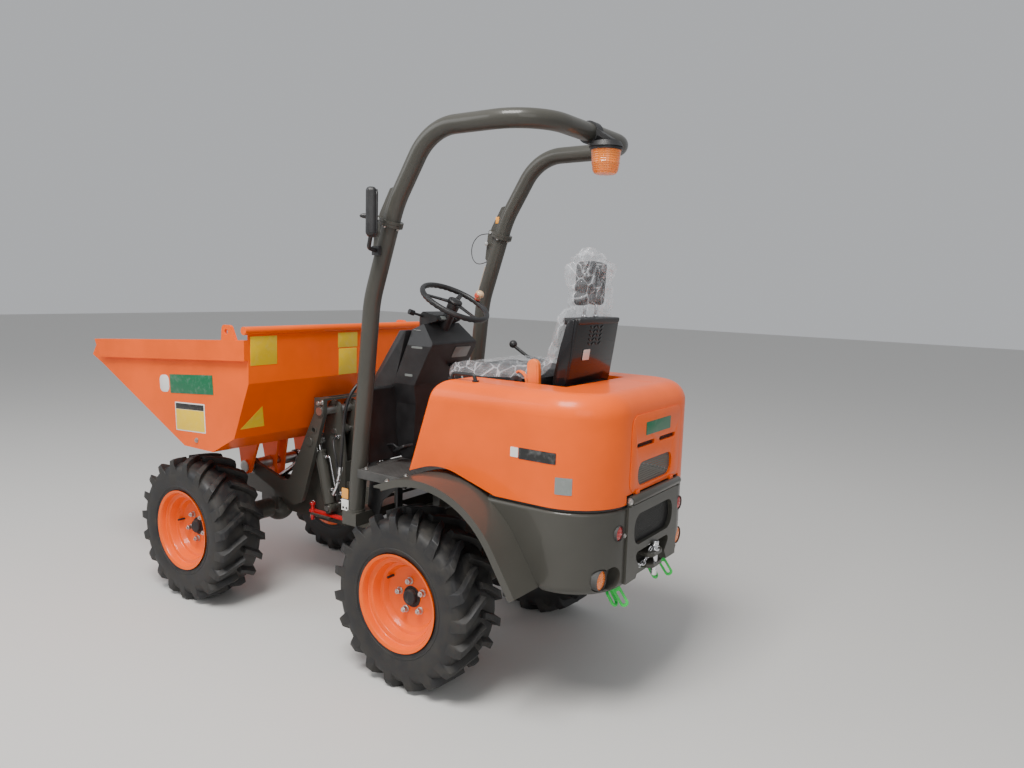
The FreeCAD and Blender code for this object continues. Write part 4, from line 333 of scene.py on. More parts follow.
FINISHES = {
    "orange_paint": paint("orange_paint", (0.95, 0.115, 0.0), 0.34, 0.16, dust=0.07, dust_colour=(0.50, 0.25, 0.14)),
    "grey_paint": paint("grey_paint", (0.060, 0.058, 0.050), 0.38, 0.30, dust=0.20),
    "engine_iron": paint("engine_iron", (0.03, 0.03, 0.032), 0.6, 0.0, dust=0.4),
    "pin_steel": metal("pin_steel", (0.55, 0.54, 0.52), 0.32),
    "rod_chrome": metal("rod_chrome", (0.80, 0.80, 0.82), 0.10),
    "tyre_rubber": tyre_rubber(),
    "mesh_black": perforated("mesh_black", (0.022, 0.022, 0.022), 0.0085, 0.0055),
    "mesh_pale": perforated("mesh_pale", (0.17, 0.16, 0.14), 0.0110, 0.0065),
    "lamp_lens": lens("lamp_lens", (0.85, 0.20, 0.01), 700.0),
    "lamp_red": lens("lamp_red", (0.42, 0.012, 0.01), 500.0),
    "black_plastic": plastic("black_plastic", (0.016, 0.016, 0.017), 0.42),
    "seat_vinyl": vinyl(),
    "belt_orange": plastic("belt_orange", (0.80, 0.15, 0.02), 0.45, strength=0.1),
    "floor_rubber": plastic("floor_rubber", (0.045, 0.044, 0.042), 0.7, grain=300.0),
    "lock_red": paint("lock_red", (0.55, 0.012, 0.015), 0.32, 0.4, dust=0.15),
    "eye_green": paint("eye_green", (0.03, 0.62, 0.09), 0.35, 0.3, dust=0.08),
    "badge_green": decal("badge_green", (0.0, 0.13, 0.05)),
    "sign_white": decal("sign_white", (0.74, 0.73, 0.70)),
    "sign_yellow": decal("sign_yellow", (0.85, 0.55, 0.005)),
    "sign_black": decal("sign_black", (0.012, 0.012, 0.012)),
    "tag_orange": decal("tag_orange", (0.82, 0.34, 0.03)),
    "label_blue": decal("label_blue", (0.05, 0.11, 0.34)),
    "knob_cream": plastic("knob_cream", (0.62, 0.40, 0.24), 0.3, strength=0.05),
    "knob_red": plastic("knob_red", (0.50, 0.07, 0.04), 0.3, strength=0.05),
    "strap_cream": plastic("strap_cream", (0.42, 0.33, 0.24), 0.6, grain=700.0, strength=0.3),
    "screen_grey": decal("screen_grey", (0.20, 0.22, 0.21)),
    "shell_black": paint("shell_black", (0.012, 0.012, 0.013), 0.24, 0.5, dust=0.06),
    "clear_film": clear_film(),
    "mirror_glass": mirror_glass(),
    "hose_rubber": hose_rubber(),
}
BARE_NODES = {"grab_handle": "black_plastic", "bonnet_grille": "mesh_pale"}

for row in frame["record"]["subparts"]:
    mesh = CAD[row["node"]].data
    mesh.materials.clear()
    mesh.materials.append(FINISHES[BARE_NODES.get(row["node"], row["material_slot"])].material)


# Modelling by hand: primitives, edit-mode operators and modifiers
def lone(obj=None):
    """Deselect everything, then select and activate one object."""
    if bpy.context.object and bpy.context.object.mode != "OBJECT":
        bpy.ops.object.mode_set(mode="OBJECT")
    bpy.ops.object.select_all(action="DESELECT")
    if obj:
        obj.select_set(True)
        bpy.context.view_layer.objects.active = obj
    return obj


def start(add, **options):
    """Add a primitive and return its object, alone in the selection."""
    lone()
    add(**options)
    return bpy.context.object


def pick(obj, test, kind="faces"):
    """In edit mode, select the faces, edges or vertices whose middle and normal pass a test."""
    bpy.ops.mesh.select_mode(type={"faces": "FACE", "edges": "EDGE", "verts": "VERT"}[kind])
    bpy.ops.mesh.select_all(action="DESELECT")
    edit = bmesh.from_edit_mesh(obj.data)
    for item in getattr(edit, kind):
        if kind == "faces":
            chosen = test(item.calc_center_median(), item.normal)
        elif kind == "edges":
            chosen = test((item.verts[0].co + item.verts[1].co) / 2, item.verts[1].co - item.verts[0].co)
        else:
            chosen = test(item.co, item.normal)
        item.select_set(chosen)
    edit.select_flush_mode()
    bmesh.update_edit_mesh(obj.data)


def edit(obj):
    lone(obj)
    bpy.ops.object.mode_set(mode="EDIT")


def out_of_edit():
    bpy.ops.object.mode_set(mode="OBJECT")


def modify(obj, kind, **settings):
    """Add a modifier and apply it."""
    lone(obj)
    modifier = obj.modifiers.new(kind.title(), kind)
    for key, value in settings.items():
        setattr(modifier, key, value)
    bpy.ops.object.modifier_apply(modifier=modifier.name)
    return obj


def settle(obj):
    """Put the object's place into its mesh."""
    lone(obj)
    bpy.ops.object.transform_apply(location=True, rotation=True, scale=True)
    return obj


def join(*objs):
    lone(objs[0])
    for obj in objs:
        obj.select_set(True)
    bpy.ops.object.join()
    return bpy.context.object


def copy_of(obj, matrix):
    """A copy with its own mesh, moved by a matrix."""
    twin = bpy.data.objects.new(obj.name + "_copy", obj.data.copy())
    bpy.context.collection.objects.link(twin)
    twin.data.transform(matrix)
    if matrix.determinant() < 0:
        twin.data.flip_normals()
    return twin


def mirrored(obj):
    return copy_of(obj, Matrix.Scale(-1.0, 4, Vector((0, 1, 0))))


def finished(obj, name, body, finish, smooth=35.0):
    """Name a piece, give it its finish and let it ride on its body."""
    settle(obj)
    obj.name = name
    obj.data.name = name
    obj.data.materials.clear()
    obj.data.materials.append(FINISHES[finish].material)
    if smooth:
        bpy.ops.object.shade_smooth_by_angle(angle=math.radians(smooth))
    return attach(obj, body)


def block(low, high, corner=0.0, axis="X", edge=0.001, segments=5):
    """A cube drawn out between two corners, its four edges along one axis rounded and the rest broken."""
    low, high = Vector(low), Vector(high)
    obj = start(bpy.ops.mesh.primitive_cube_add, size=1.0, location=(low + high) / 2)
    obj.scale = high - low
    settle(obj)
    if corner:
        along = "XYZ".index(axis)
        edit(obj)
        pick(obj, lambda middle, span: abs(span[along]) > 0.99 * span.length, "edges")
        bpy.ops.mesh.bevel(offset=corner, segments=segments)
        out_of_edit()
    if edge:
        modify(obj, "BEVEL", width=edge, segments=2, limit_method="ANGLE", angle_limit=math.radians(50))
    return obj


def shaft(a, b, radius, edge=0.0008, steps=24, tip=None):
    """A turned bar between two places, its ends chamfered or drawn in to a tip radius."""
    a, b = Vector(a), Vector(b)
    obj = start(bpy.ops.mesh.primitive_cylinder_add, vertices=steps, radius=radius, depth=(b - a).length,
                location=(a + b) / 2, rotation=(b - a).to_track_quat("Z", "Y").to_euler())
    settle(obj)
    if tip:
        edit(obj)
        pick(obj, lambda middle, normal: normal.dot((b - a).normalized()) > 0.9)
        bpy.ops.transform.resize(value=(tip / radius,) * 3, center_override=b)
        out_of_edit()
    if edge:
        modify(obj, "BEVEL", width=edge, segments=2, limit_method="ANGLE", angle_limit=math.radians(40))
    return obj


def facing(at, towards):
    """The matrix that takes a piece made along +Y from the origin to a place and a direction."""
    turn = Vector((0, 1, 0)).rotation_difference(Vector(towards)).to_matrix().to_4x4()
    return Matrix.Translation(at) @ turn


def bent_line(points, radius, closed=False):
    """A round bar or hose along a smooth curve with these control points."""
    line = bpy.data.curves.new("wire", "CURVE")
    line.dimensions = "3D"
    line.bevel_depth = radius
    line.bevel_resolution = 3
    line.resolution_u = 8
    line.use_fill_caps = True
    spline = line.splines.new("NURBS")
    spline.points.add(len(points) - 1)
    for point, place in zip(spline.points, points):
        point.co = (*place, 1.0)
    spline.order_u = 3
    spline.use_endpoint_u = not closed
    spline.use_cyclic_u = closed
    obj = bpy.data.objects.new("wire", line)
    bpy.context.collection.objects.link(obj)
    return obj


def wire(points, radius, closed=False):
    """A bent bar through a few places, made a mesh."""
    lone(bent_line(points, radius, closed))
    bpy.ops.object.convert(target="MESH")
    return bpy.context.object


def hose(name, body, points, radius):
    """A hose along a smooth curve, fixed to its body at both ends."""
    obj = bent_line(points, radius)
    obj.name = name
    obj.data.name = name
    obj.data.materials.append(FINISHES["hose_rubber"].material)
    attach(obj, body)
    return obj


def cut_out(obj, *cutters):
    """Take the cutters' forms out of a piece."""
    for cutter in cutters:
        modify(obj, "BOOLEAN", object=cutter, operation="DIFFERENCE", solver="EXACT")
        bpy.data.objects.remove(cutter)
    return obj


def bolts(name, body, places, radius=0.008, height=0.006, finish="pin_steel"):
    """Hexagon heads on washers at (place, direction) pairs, as one piece."""
    head = hexagon_nut(radius, height)
    washer = round_boss(radius * 1.35, radius * 0.22, radius * 0.08, 20)
    parts = []
    for at, towards in places:
        seat = facing(at, towards)
        parts += [copy_of(washer, seat), copy_of(head, seat @ Matrix.Translation((0, radius * 0.2, 0)))]
    bpy.data.objects.remove(head)
    bpy.data.objects.remove(washer)
    return finished(join(*parts), name, body, finish, 30.0)


# Wheels: tyres with sloping lugs that meet at the middle, deep orange rims with nuts and a valve
WHEEL_X = {"front": 0.760, "rear": -0.780}
WHEEL_Y = 0.515
AXLE_Z = 0.382
LUG_COUNT = 19
TYRE_PROFILE = [
    # y from the tyre's middle, radius: from the inner bead round the tread to the outer bead
    (-0.1120, 0.2060), (-0.1220, 0.2180), (-0.1235, 0.2290), (-0.1265, 0.2400), (-0.1300, 0.2560),
    (-0.1318, 0.2780), (-0.1315, 0.2990), (-0.1285, 0.3180), (-0.1220, 0.3340), (-0.1100, 0.3450),
    (-0.0850, 0.3510), (-0.0450, 0.3545), (0.0, 0.3555), (0.0450, 0.3545), (0.0850, 0.3510),
    (0.1100, 0.3450), (0.1220, 0.3340), (0.1285, 0.3180), (0.1315, 0.2990), (0.1318, 0.2780),
    (0.1300, 0.2560), (0.1265, 0.2400), (0.1235, 0.2290), (0.1220, 0.2180), (0.1120, 0.2060),
]
LUG_ROWS = [
    # y, shift along the tread, radius at the foot, height, half width at the top
    (-0.0040, 0.0420, 0.3480, 0.0340, 0.0125),
    (0.0300, 0.0260, 0.3475, 0.0345, 0.0130),
    (0.0650, 0.0050, 0.3440, 0.0375, 0.0145),
    (0.0980, -0.0180, 0.3380, 0.0410, 0.0165),
    (0.1235, -0.0350, 0.3160, 0.0560, 0.0185),
    (0.1310, -0.0390, 0.2960, 0.0520, 0.0185),
]
RIM_PROFILE = [
    # y from the wheel's middle, radius: the dished face from the outer flange in to the centre hole, then the back
    (0.1240, 0.2100), (0.1275, 0.2130), (0.1275, 0.2100), (0.1225, 0.1990), (0.1140, 0.1945), (0.0960, 0.1915),
    (0.0920, 0.1880), (0.0890, 0.1700), (0.0830, 0.1665), (0.0560, 0.1625), (0.0500, 0.1590), (0.0470, 0.1460),
    (0.0400, 0.1410), (0.0260, 0.1330), (0.0220, 0.1240), (0.0220, 0.0470), (0.0160, 0.0470), (0.0160, 0.1290),
    (0.0340, 0.1500), (0.0410, 0.1660), (0.0700, 0.1760), (0.0800, 0.1900), (0.0300, 0.1880), (-0.0500, 0.1900),
    (-0.1120, 0.1930), (-0.1210, 0.1990), (-0.1275, 0.2100), (-0.1275, 0.2130), (-0.1240, 0.2120),
    (-0.1190, 0.2050), (-0.1100, 0.1990), (0.0900, 0.1985), (0.1150, 0.2020),
]
RIM_FACE_Y = 0.022
STUD_CIRCLE = 0.070
STUD_TOTAL = 5


def spun(profile, steps, closed=False):
    """A profile of (y, radius) points drawn by extruding a point, spun about the Y axis."""
    obj = start(bpy.ops.mesh.primitive_plane_add, size=0.01)
    edit(obj)
    bpy.ops.mesh.select_mode(type="VERT")
    bpy.ops.mesh.select_all(action="SELECT")
    bpy.ops.mesh.merge(type="CENTER")
    here = Vector((0.0, 0.0, 0.0))
    for number, (y, radius) in enumerate(profile + (profile[:1] if closed else [])):
        step = Vector((0.0, y, radius)) - here
        if number:
            bpy.ops.mesh.extrude_vertices_move(TRANSFORM_OT_translate={"value": step})
        else:
            bpy.ops.transform.translate(value=step)
        here = here + step
    bpy.ops.mesh.select_all(action="SELECT")
    bpy.ops.mesh.spin(steps=steps, angle=math.tau, center=(0, 0, 0), axis=(0, 1, 0))
    bpy.ops.mesh.select_all(action="SELECT")
    bpy.ops.mesh.remove_doubles(threshold=0.00002)
    bpy.ops.mesh.normals_make_consistent(inside=False)
    out_of_edit()
    return obj


def swept(rows):
    """A bar through (centre, x size, z size) rows: a face extruded and resized from row to row along Y."""
    centre, wide, tall = rows[0]
    obj = start(bpy.ops.mesh.primitive_plane_add, size=1.0, location=centre, rotation=(math.pi / 2, 0, 0))
    obj.scale = (wide, tall, 1.0)
    settle(obj)
    edit(obj)
    bpy.ops.mesh.select_all(action="SELECT")
    here, was_wide, was_tall = Vector(centre), wide, tall
    for centre, wide, tall in rows[1:]:
        step = Vector(centre) - here
        bpy.ops.mesh.extrude_region_move(TRANSFORM_OT_translate={"value": step})
        here = Vector(centre)
        bpy.ops.transform.resize(value=(wide / was_wide, 1.0, tall / was_tall), center_override=here)
        was_wide, was_tall = wide, tall
    bpy.ops.mesh.select_all(action="SELECT")
    bpy.ops.mesh.normals_make_consistent(inside=False)
    out_of_edit()
    return obj


def tyre_lug():
    """One lug on the tyre's +Y half, its foot sunk in the carcass."""
    rows = []
    for y, shift, foot, height, half in LUG_ROWS:
        rows.append(((shift, y, foot + height / 2), 2 * half, height))
    lug = swept(rows)
    edit(lug)
    for step in range(len(LUG_ROWS)):
        pick(lug, lambda middle, normal: abs(middle.y - LUG_ROWS[step][0]) < 0.002 and middle.z < LUG_ROWS[step][2] + 0.01,
             "verts")
        bpy.ops.transform.resize(value=(1.5, 1.0, 1.0), center_override=(LUG_ROWS[step][1], LUG_ROWS[step][0], 0.3))
    pick(lug, lambda middle, span: middle.z > 0.345 and abs(span.z) < 0.02 or middle.y > 0.128, "edges")
    bpy.ops.mesh.bevel(offset=0.0032, segments=2, profile=0.6)
    out_of_edit()
    return lug


def tyre():
    """Carcass with a bead rib, sidewall rings and two rows of lugs, centred on the Y axis."""
    carcass = spun(TYRE_PROFILE, 96)
    edit(carcass)
    pick(carcass, lambda middle, normal: abs(middle.y) > 0.1225 and 0.2300 < math.hypot(middle.x, middle.z) < 0.2390)
    bpy.ops.mesh.inset(thickness=0.0016, depth=0.0022)
    out_of_edit()
    lug = tyre_lug()
    pieces = [carcass]
    for n in range(LUG_COUNT):
        for side, offset in ((1.0, 0.0), (-1.0, 0.5)):
            flip = Matrix.Scale(side, 4, Vector((0, 1, 0)))
            turn = Matrix.Rotation(math.tau * (n + offset) / LUG_COUNT, 4, "Y")
            pieces.append(copy_of(lug, turn @ flip))
    bpy.data.objects.remove(lug)
    return join(*pieces)


def hexagon_nut(radius, height):
    """A chamfered nut on a stub of thread, axis along +Y from y = 0."""
    nut = start(bpy.ops.mesh.primitive_cylinder_add, vertices=6, radius=radius, depth=height,
                location=(0, height / 2, 0), rotation=(math.pi / 2, 0, 0))
    settle(nut)
    edit(nut)
    pick(nut, lambda middle, normal: normal.y > 0.5)
    bpy.ops.mesh.inset(thickness=radius * 0.14, depth=height * 0.10)
    bpy.ops.mesh.inset(thickness=radius * 0.30)
    bpy.ops.mesh.extrude_region_move(TRANSFORM_OT_translate={"value": (0, height * 0.35, 0)})
    bpy.ops.mesh.inset(thickness=radius * 0.08, depth=height * 0.06)
    out_of_edit()
    return nut


def round_boss(radius, height, chamfer, steps=40):
    """A turned boss with a chamfered end, axis along +Y from y = 0."""
    boss = start(bpy.ops.mesh.primitive_cylinder_add, vertices=steps, radius=radius, depth=height,
                 location=(0, height / 2, 0), rotation=(math.pi / 2, 0, 0))
    settle(boss)
    edit(boss)
    pick(boss, lambda middle, normal: normal.y > 0.5)
    bpy.ops.mesh.inset(thickness=chamfer, depth=chamfer)
    bpy.ops.mesh.inset(thickness=radius * 0.3)
    bpy.ops.mesh.inset(thickness=radius * 0.04, depth=-radius * 0.05)
    out_of_edit()
    return boss


def dress_wheels():
    """Tyre, rim, nuts, hub and valve on each of the four wheels."""
    carcass = tyre()
    rim = spun(RIM_PROFILE, 96, closed=True)
    nut = hexagon_nut(0.0135, 0.017)
    washer = round_boss(0.0165, 0.004, 0.001, 24)
    cap = round_boss(0.034, 0.020, 0.004)
    hub = round_boss(0.0465, 0.012, 0.002)
    valve = round_boss(0.0055, 0.042, 0.0015, 16)
    for end, x in WHEEL_X.items():
        for side, sign in (("left", 1.0), ("right", -1.0)):
            body = f"wheel_{end}_{side}"
            middle = Matrix.Translation((x, sign * WHEEL_Y, AXLE_Z)) @ Matrix.Scale(sign, 4, Vector((0, 1, 0)))
            roll = middle @ Matrix.Rotation(0.3 * x + 0.07 * sign, 4, "Y")
            face = roll @ Matrix.Translation((0, RIM_FACE_Y, 0))
            rubber = finished(copy_of(carcass, roll), f"{body}_tread", body, "tyre_rubber", 40.0)
            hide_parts(f"tyre_{end}_{side}")
            dish = finished(copy_of(rim, roll), f"{body}_dish", body, "orange_paint", 30.0)
            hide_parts(f"rim_{end}_{side}")
            bright = []
            for n in range(STUD_TOTAL):
                stud = face @ Matrix.Rotation(math.tau * n / STUD_TOTAL, 4, "Y") @ Matrix.Translation((STUD_CIRCLE, 0, 0))
                bright += [copy_of(washer, stud), copy_of(nut, stud @ Matrix.Translation((0, 0.004, 0)))]
            finished(join(*bright), f"{body}_nuts", body, "pin_steel", 30.0)
            dark = [copy_of(hub, face @ Matrix.Translation((0, -0.010, 0))), copy_of(cap, face),
                    copy_of(valve, face @ Matrix.Translation((0.118, -0.004, 0.052)))]
            finished(join(*dark), f"{body}_hub", body, "engine_iron", 30.0)
    for obj in (carcass, rim, nut, washer, cap, hub, valve):
        bpy.data.objects.remove(obj)


dress_wheels()


# Rear end: lamps, panel, badge, a black strip painting the shade in the gap under the bonnet, tow pin and chain
def both_ways(obj):
    return [obj, mirrored(obj)]


def dress_lamps():
    """Red upper and amber lower lamps in rubber rings, a screw beside each upper one."""
    to_rear = Matrix.Rotation(math.radians(90), 4, "Z")
    rows = [
        # name, finish, front x of the lamp, y, z, radius, depth
        ("tail_lamp", "lamp_red", -1.6036, 0.291, 0.779, 0.0285, 0.031),
        ("marker_lamp", "lamp_lens", -1.5741, 0.368, 0.603, 0.0375, 0.029),
    ]
    for name, finish, x, y, z, radius, depth in rows:
        dome = [(0.0, 0.0), (0.0, radius), (0.72 * depth, radius), (0.80 * depth, 0.94 * radius)]
        for n in range(6, -1, -1):
            share = n / 7
            dome.append((depth * (0.80 + 0.20 * (1 - share ** 2)) - 0.0006 * (n % 2), 0.90 * radius * share))
        lens_form = spun(dome, 48)
        ring_form = spun([(0.0, radius + 0.0004), (0.86 * depth, radius + 0.0004), (0.94 * depth, radius + 0.0016),
                          (0.86 * depth, radius + 0.0036), (0.0, radius + 0.0036)], 48, closed=True)
        for side, sign in (("left", 1.0), ("right", -1.0)):
            seat = Matrix.Translation((x, sign * y, z)) @ to_rear
            glass = finished(copy_of(lens_form, seat), f"{name}_{side}", "rear_body", finish, 40.0)
            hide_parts("rear_lamps")
            finished(copy_of(ring_form, seat), f"{name}_ring_{side}", "rear_body", "floor_rubber", 40.0)
        bpy.data.objects.remove(lens_form)
        bpy.data.objects.remove(ring_form)
    bolts("lamp_screws", "rear_body", [((-1.6328, sign * 0.254, 0.762), (-1, 0, 0)) for sign in (1, -1)], 0.007, 0.004)


def dress_rear_panel():
    """Raised panel on the bonnet's rear with its openings, and a bare green badge."""
    panel = block((-1.6362, -0.240, 0.922), (-1.6332, 0.232, 1.236), corner=0.045, edge=0.0)
    edit(panel)
    pick(panel, lambda middle, normal: middle.z < 0.93)
    out_of_edit()
    cutters = [block((-1.65, -0.165, 0.942), (-1.62, 0.165, 1.040), corner=0.042, edge=0.0)]
    for sign in (1, -1):
        low, high = sorted((sign * 0.025, sign * 0.185))
        cutters.append(block((-1.65, low, 1.102), (-1.62, high, 1.120), corner=0.008, edge=0.0))
    cut_out(panel, *cutters)
    modify(panel, "BEVEL", width=0.0012, segments=2, limit_method="ANGLE", angle_limit=math.radians(50))
    finished(panel, "bonnet_rear_panel", "bonnet", "orange_paint", 40.0)
    badge = block((-1.6378, -0.131, 1.144), (-1.6363, 0.110, 1.198), corner=0.006, edge=0.0005)
    finished(badge, "bonnet_badge", "bonnet", "badge_green", 40.0)
    lips = []
    for sign in (1, -1):
        low, high = sorted((sign * 0.027, sign * 0.183))
        lips.append(block((-1.6290, low, 1.1035), (-1.6240, high, 1.1055), edge=0.0006))
        lips.append(block((-1.6290, low, 1.1110), (-1.6240, high, 1.1130), edge=0.0006))
    finished(join(*lips), "bonnet_slot_slats", "bonnet", "grey_paint", 40.0)


def dress_gap_shade_strip():
    """Black strip in the gap under the bonnet, round the rear body's plan: painted shade standing in for the shadow in
    that gap.
    """
    strip = start(bpy.ops.mesh.primitive_plane_add, size=1.0, location=(-1.375, 0, 0.8745))
    strip.scale = (0.492, 0.946, 1.0)
    settle(strip)
    edit(strip)
    pick(strip, lambda middle, normal: middle.x < -1.5, "verts")
    bpy.ops.mesh.bevel(offset=0.226, segments=18, affect="VERTICES")
    bpy.ops.mesh.select_all(action="SELECT")
    bpy.ops.mesh.delete(type="ONLY_FACE")
    pick(strip, lambda middle, span: abs(span.y) > 0.9, "edges")
    bpy.ops.mesh.delete(type="EDGE")
    bpy.ops.mesh.select_all(action="SELECT")
    bpy.ops.mesh.extrude_edges_move(TRANSFORM_OT_translate={"value": (0, 0, 0.0105)})
    out_of_edit()
    modify(strip, "SOLIDIFY", thickness=0.007, offset=0.0)
    edit(strip)
    bpy.ops.mesh.select_all(action="SELECT")
    bpy.ops.mesh.normals_make_consistent(inside=False)
    out_of_edit()
    modify(strip, "BEVEL", width=0.002, segments=2, limit_method="ANGLE", angle_limit=math.radians(50))
    # Painted shade: a black strip standing in for the shadow in the gap between bonnet and body.
    finished(strip, "bonnet_gap_shade_strip", "rear_body", "hose_rubber", 40.0)


def dress_hitch():
    """Plated tow pin with its ring, and the chain that keeps it."""
    pin = shaft((-1.654, 0, 0.534), (-1.654, 0, 0.672), 0.0129, 0.002, 32)
    collar = shaft((-1.654, 0, 0.6404), (-1.654, 0, 0.6500), 0.0185, 0.0018, 32)
    crown = shaft((-1.654, 0, 0.664), (-1.654, 0, 0.684), 0.0155, 0.004, 32)
    neck = shaft((-1.654, 0, 0.555), (-1.654, 0, 0.562), 0.0136, 0.0015, 32)
    ring = wire([(-1.654 + 0.019 * math.cos(a), 0.019 * math.sin(a), 0.661 + 0.007 * math.sin(a))
                 for a in [math.tau * n / 8 for n in range(8)]], 0.0024, closed=True)
    finished(join(pin, collar, crown, neck, ring), "tow_pin_plated", "rear_body", "rod_chrome", 40.0)
    link = start(bpy.ops.mesh.primitive_torus_add, major_radius=0.0085, minor_radius=0.0022, major_segments=16,
                 minor_segments=8)
    settle(link)
    edit(link)
    pick(link, lambda place, normal: place.x > 0.0005, "verts")
    bpy.ops.transform.translate(value=(0.008, 0, 0))
    bpy.ops.mesh.select_all(action="SELECT")
    bpy.ops.transform.translate(value=(-0.004, 0, 0))
    out_of_edit()
    ends = (Vector((-1.646, 0.017, 0.662)), Vector((-1.628, 0.172, 0.657)))
    links = []
    count = 9
    for n in range(count):
        share = (n + 0.5) / count
        at = ends[0].lerp(ends[1], share) - Vector((0, 0, 0.060 * 4 * share * (1 - share)))
        along = (ends[1] - ends[0]) / count - Vector((0, 0, 0.060 * 4 * (1 - 2 * share) / count))
        turn = Vector((1, 0, 0)).rotation_difference(along).to_matrix().to_4x4()
        roll = Matrix.Rotation(math.radians(45 + 90 * (n % 2)), 4, "X")
        links.append(copy_of(link, Matrix.Translation(at) @ turn @ roll))
    bpy.data.objects.remove(link)
    finished(join(*links), "tow_pin_chain", "rear_body", "rod_chrome", 60.0)


dress_lamps()
dress_rear_panel()
dress_gap_shade_strip()
dress_hitch()


# Driver's seat in its wrapping
def drawn(points, axis, a, b, edge=0.0):
    """An outline drawn point by point across an axis, filled and drawn out from a to b."""
    along = "XYZ".index(axis)

    def seat(point, height):
        place = list(point)
        place.insert(along, height)
        return Vector(place)
    obj = start(bpy.ops.mesh.primitive_plane_add, size=0.01)
    edit(obj)
    bpy.ops.mesh.select_mode(type="VERT")
    bpy.ops.mesh.select_all(action="SELECT")
    bpy.ops.mesh.merge(type="CENTER")
    here = seat(points[0], a)
    bpy.ops.transform.translate(value=here)
    for point in points[1:]:
        bpy.ops.mesh.extrude_vertices_move(TRANSFORM_OT_translate={"value": seat(point, a) - here})
        here = seat(point, a)
    bpy.ops.mesh.select_all(action="SELECT")
    bpy.ops.mesh.edge_face_add()
    bpy.ops.mesh.extrude_region_move(TRANSFORM_OT_translate={"value": seat((0, 0), b - a)})
    bpy.ops.mesh.select_all(action="SELECT")
    bpy.ops.mesh.normals_make_consistent(inside=False)
    out_of_edit()
    if edge:
        modify(obj, "BEVEL", width=edge, segments=3, limit_method="ANGLE", angle_limit=math.radians(35))
    return obj


def arc(x, z, radius, start_angle, end_angle, steps=8):
    """Points round part of a circle, in degrees."""
    angles = [math.radians(start_angle + (end_angle - start_angle) * n / steps) for n in range(steps + 1)]
    return [(x + radius * math.cos(a), z + radius * math.sin(a)) for a in angles]


def puffed(obj, cap, lowest=None, voxel=0.006):
    """Blow a closed form up as a sewn cover over foam, no point moving further than cap."""
    modify(obj, "REMESH", mode="VOXEL", voxel_size=voxel)
    rest = [vertex.co.copy() for vertex in obj.data.vertices]
    lone(obj)
    cloth = obj.modifiers.new("Cloth", "CLOTH")
    cloth.settings.use_pressure = True
    cloth.settings.uniform_pressure_force = 4.0
    cloth.settings.effector_weights.gravity = 0.0
    for number in range(1, 21):
        bpy.context.scene.frame_set(number)
    bpy.ops.object.modifier_apply(modifier=cloth.name)
    for vertex, was in zip(obj.data.vertices, rest):
        move = vertex.co - was
        if move.length > cap:
            vertex.co = was + move * (cap / move.length)
    bpy.context.scene.frame_set(1)
    if lowest is not None:
        for vertex in obj.data.vertices:
            vertex.co.z = max(vertex.co.z, lowest)
    return modify(obj, "SUBSURF", levels=1, render_levels=1)


def sewn(obj, test, depth):
    """Draw a seam into a cover: test gives how near a place is to the stitches, from 0 to 1."""
    inward = [vertex.normal * -depth for vertex in obj.data.vertices]
    for vertex, move in zip(obj.data.vertices, inward):
        vertex.co += move * test(vertex.co)
    obj.data.update()
    return obj


def near(value, line, width):
    return math.exp(-((value - line) / width) ** 2)


def welt(obj, middle, across, along, radius, count=80):
    """Piping round a cover: the cover's own surface met from outside, at every angle in a plane."""
    middle, across, along = Vector(middle), Vector(across), Vector(along)
    places = []
    for n in range(count):
        angle = math.tau * n / count
        out = across * math.cos(angle) + along * math.sin(angle)
        met, at, normal, face = obj.ray_cast(middle + out, -out)
        if met:
            places.append(at)
    return wire(places, radius, closed=True)


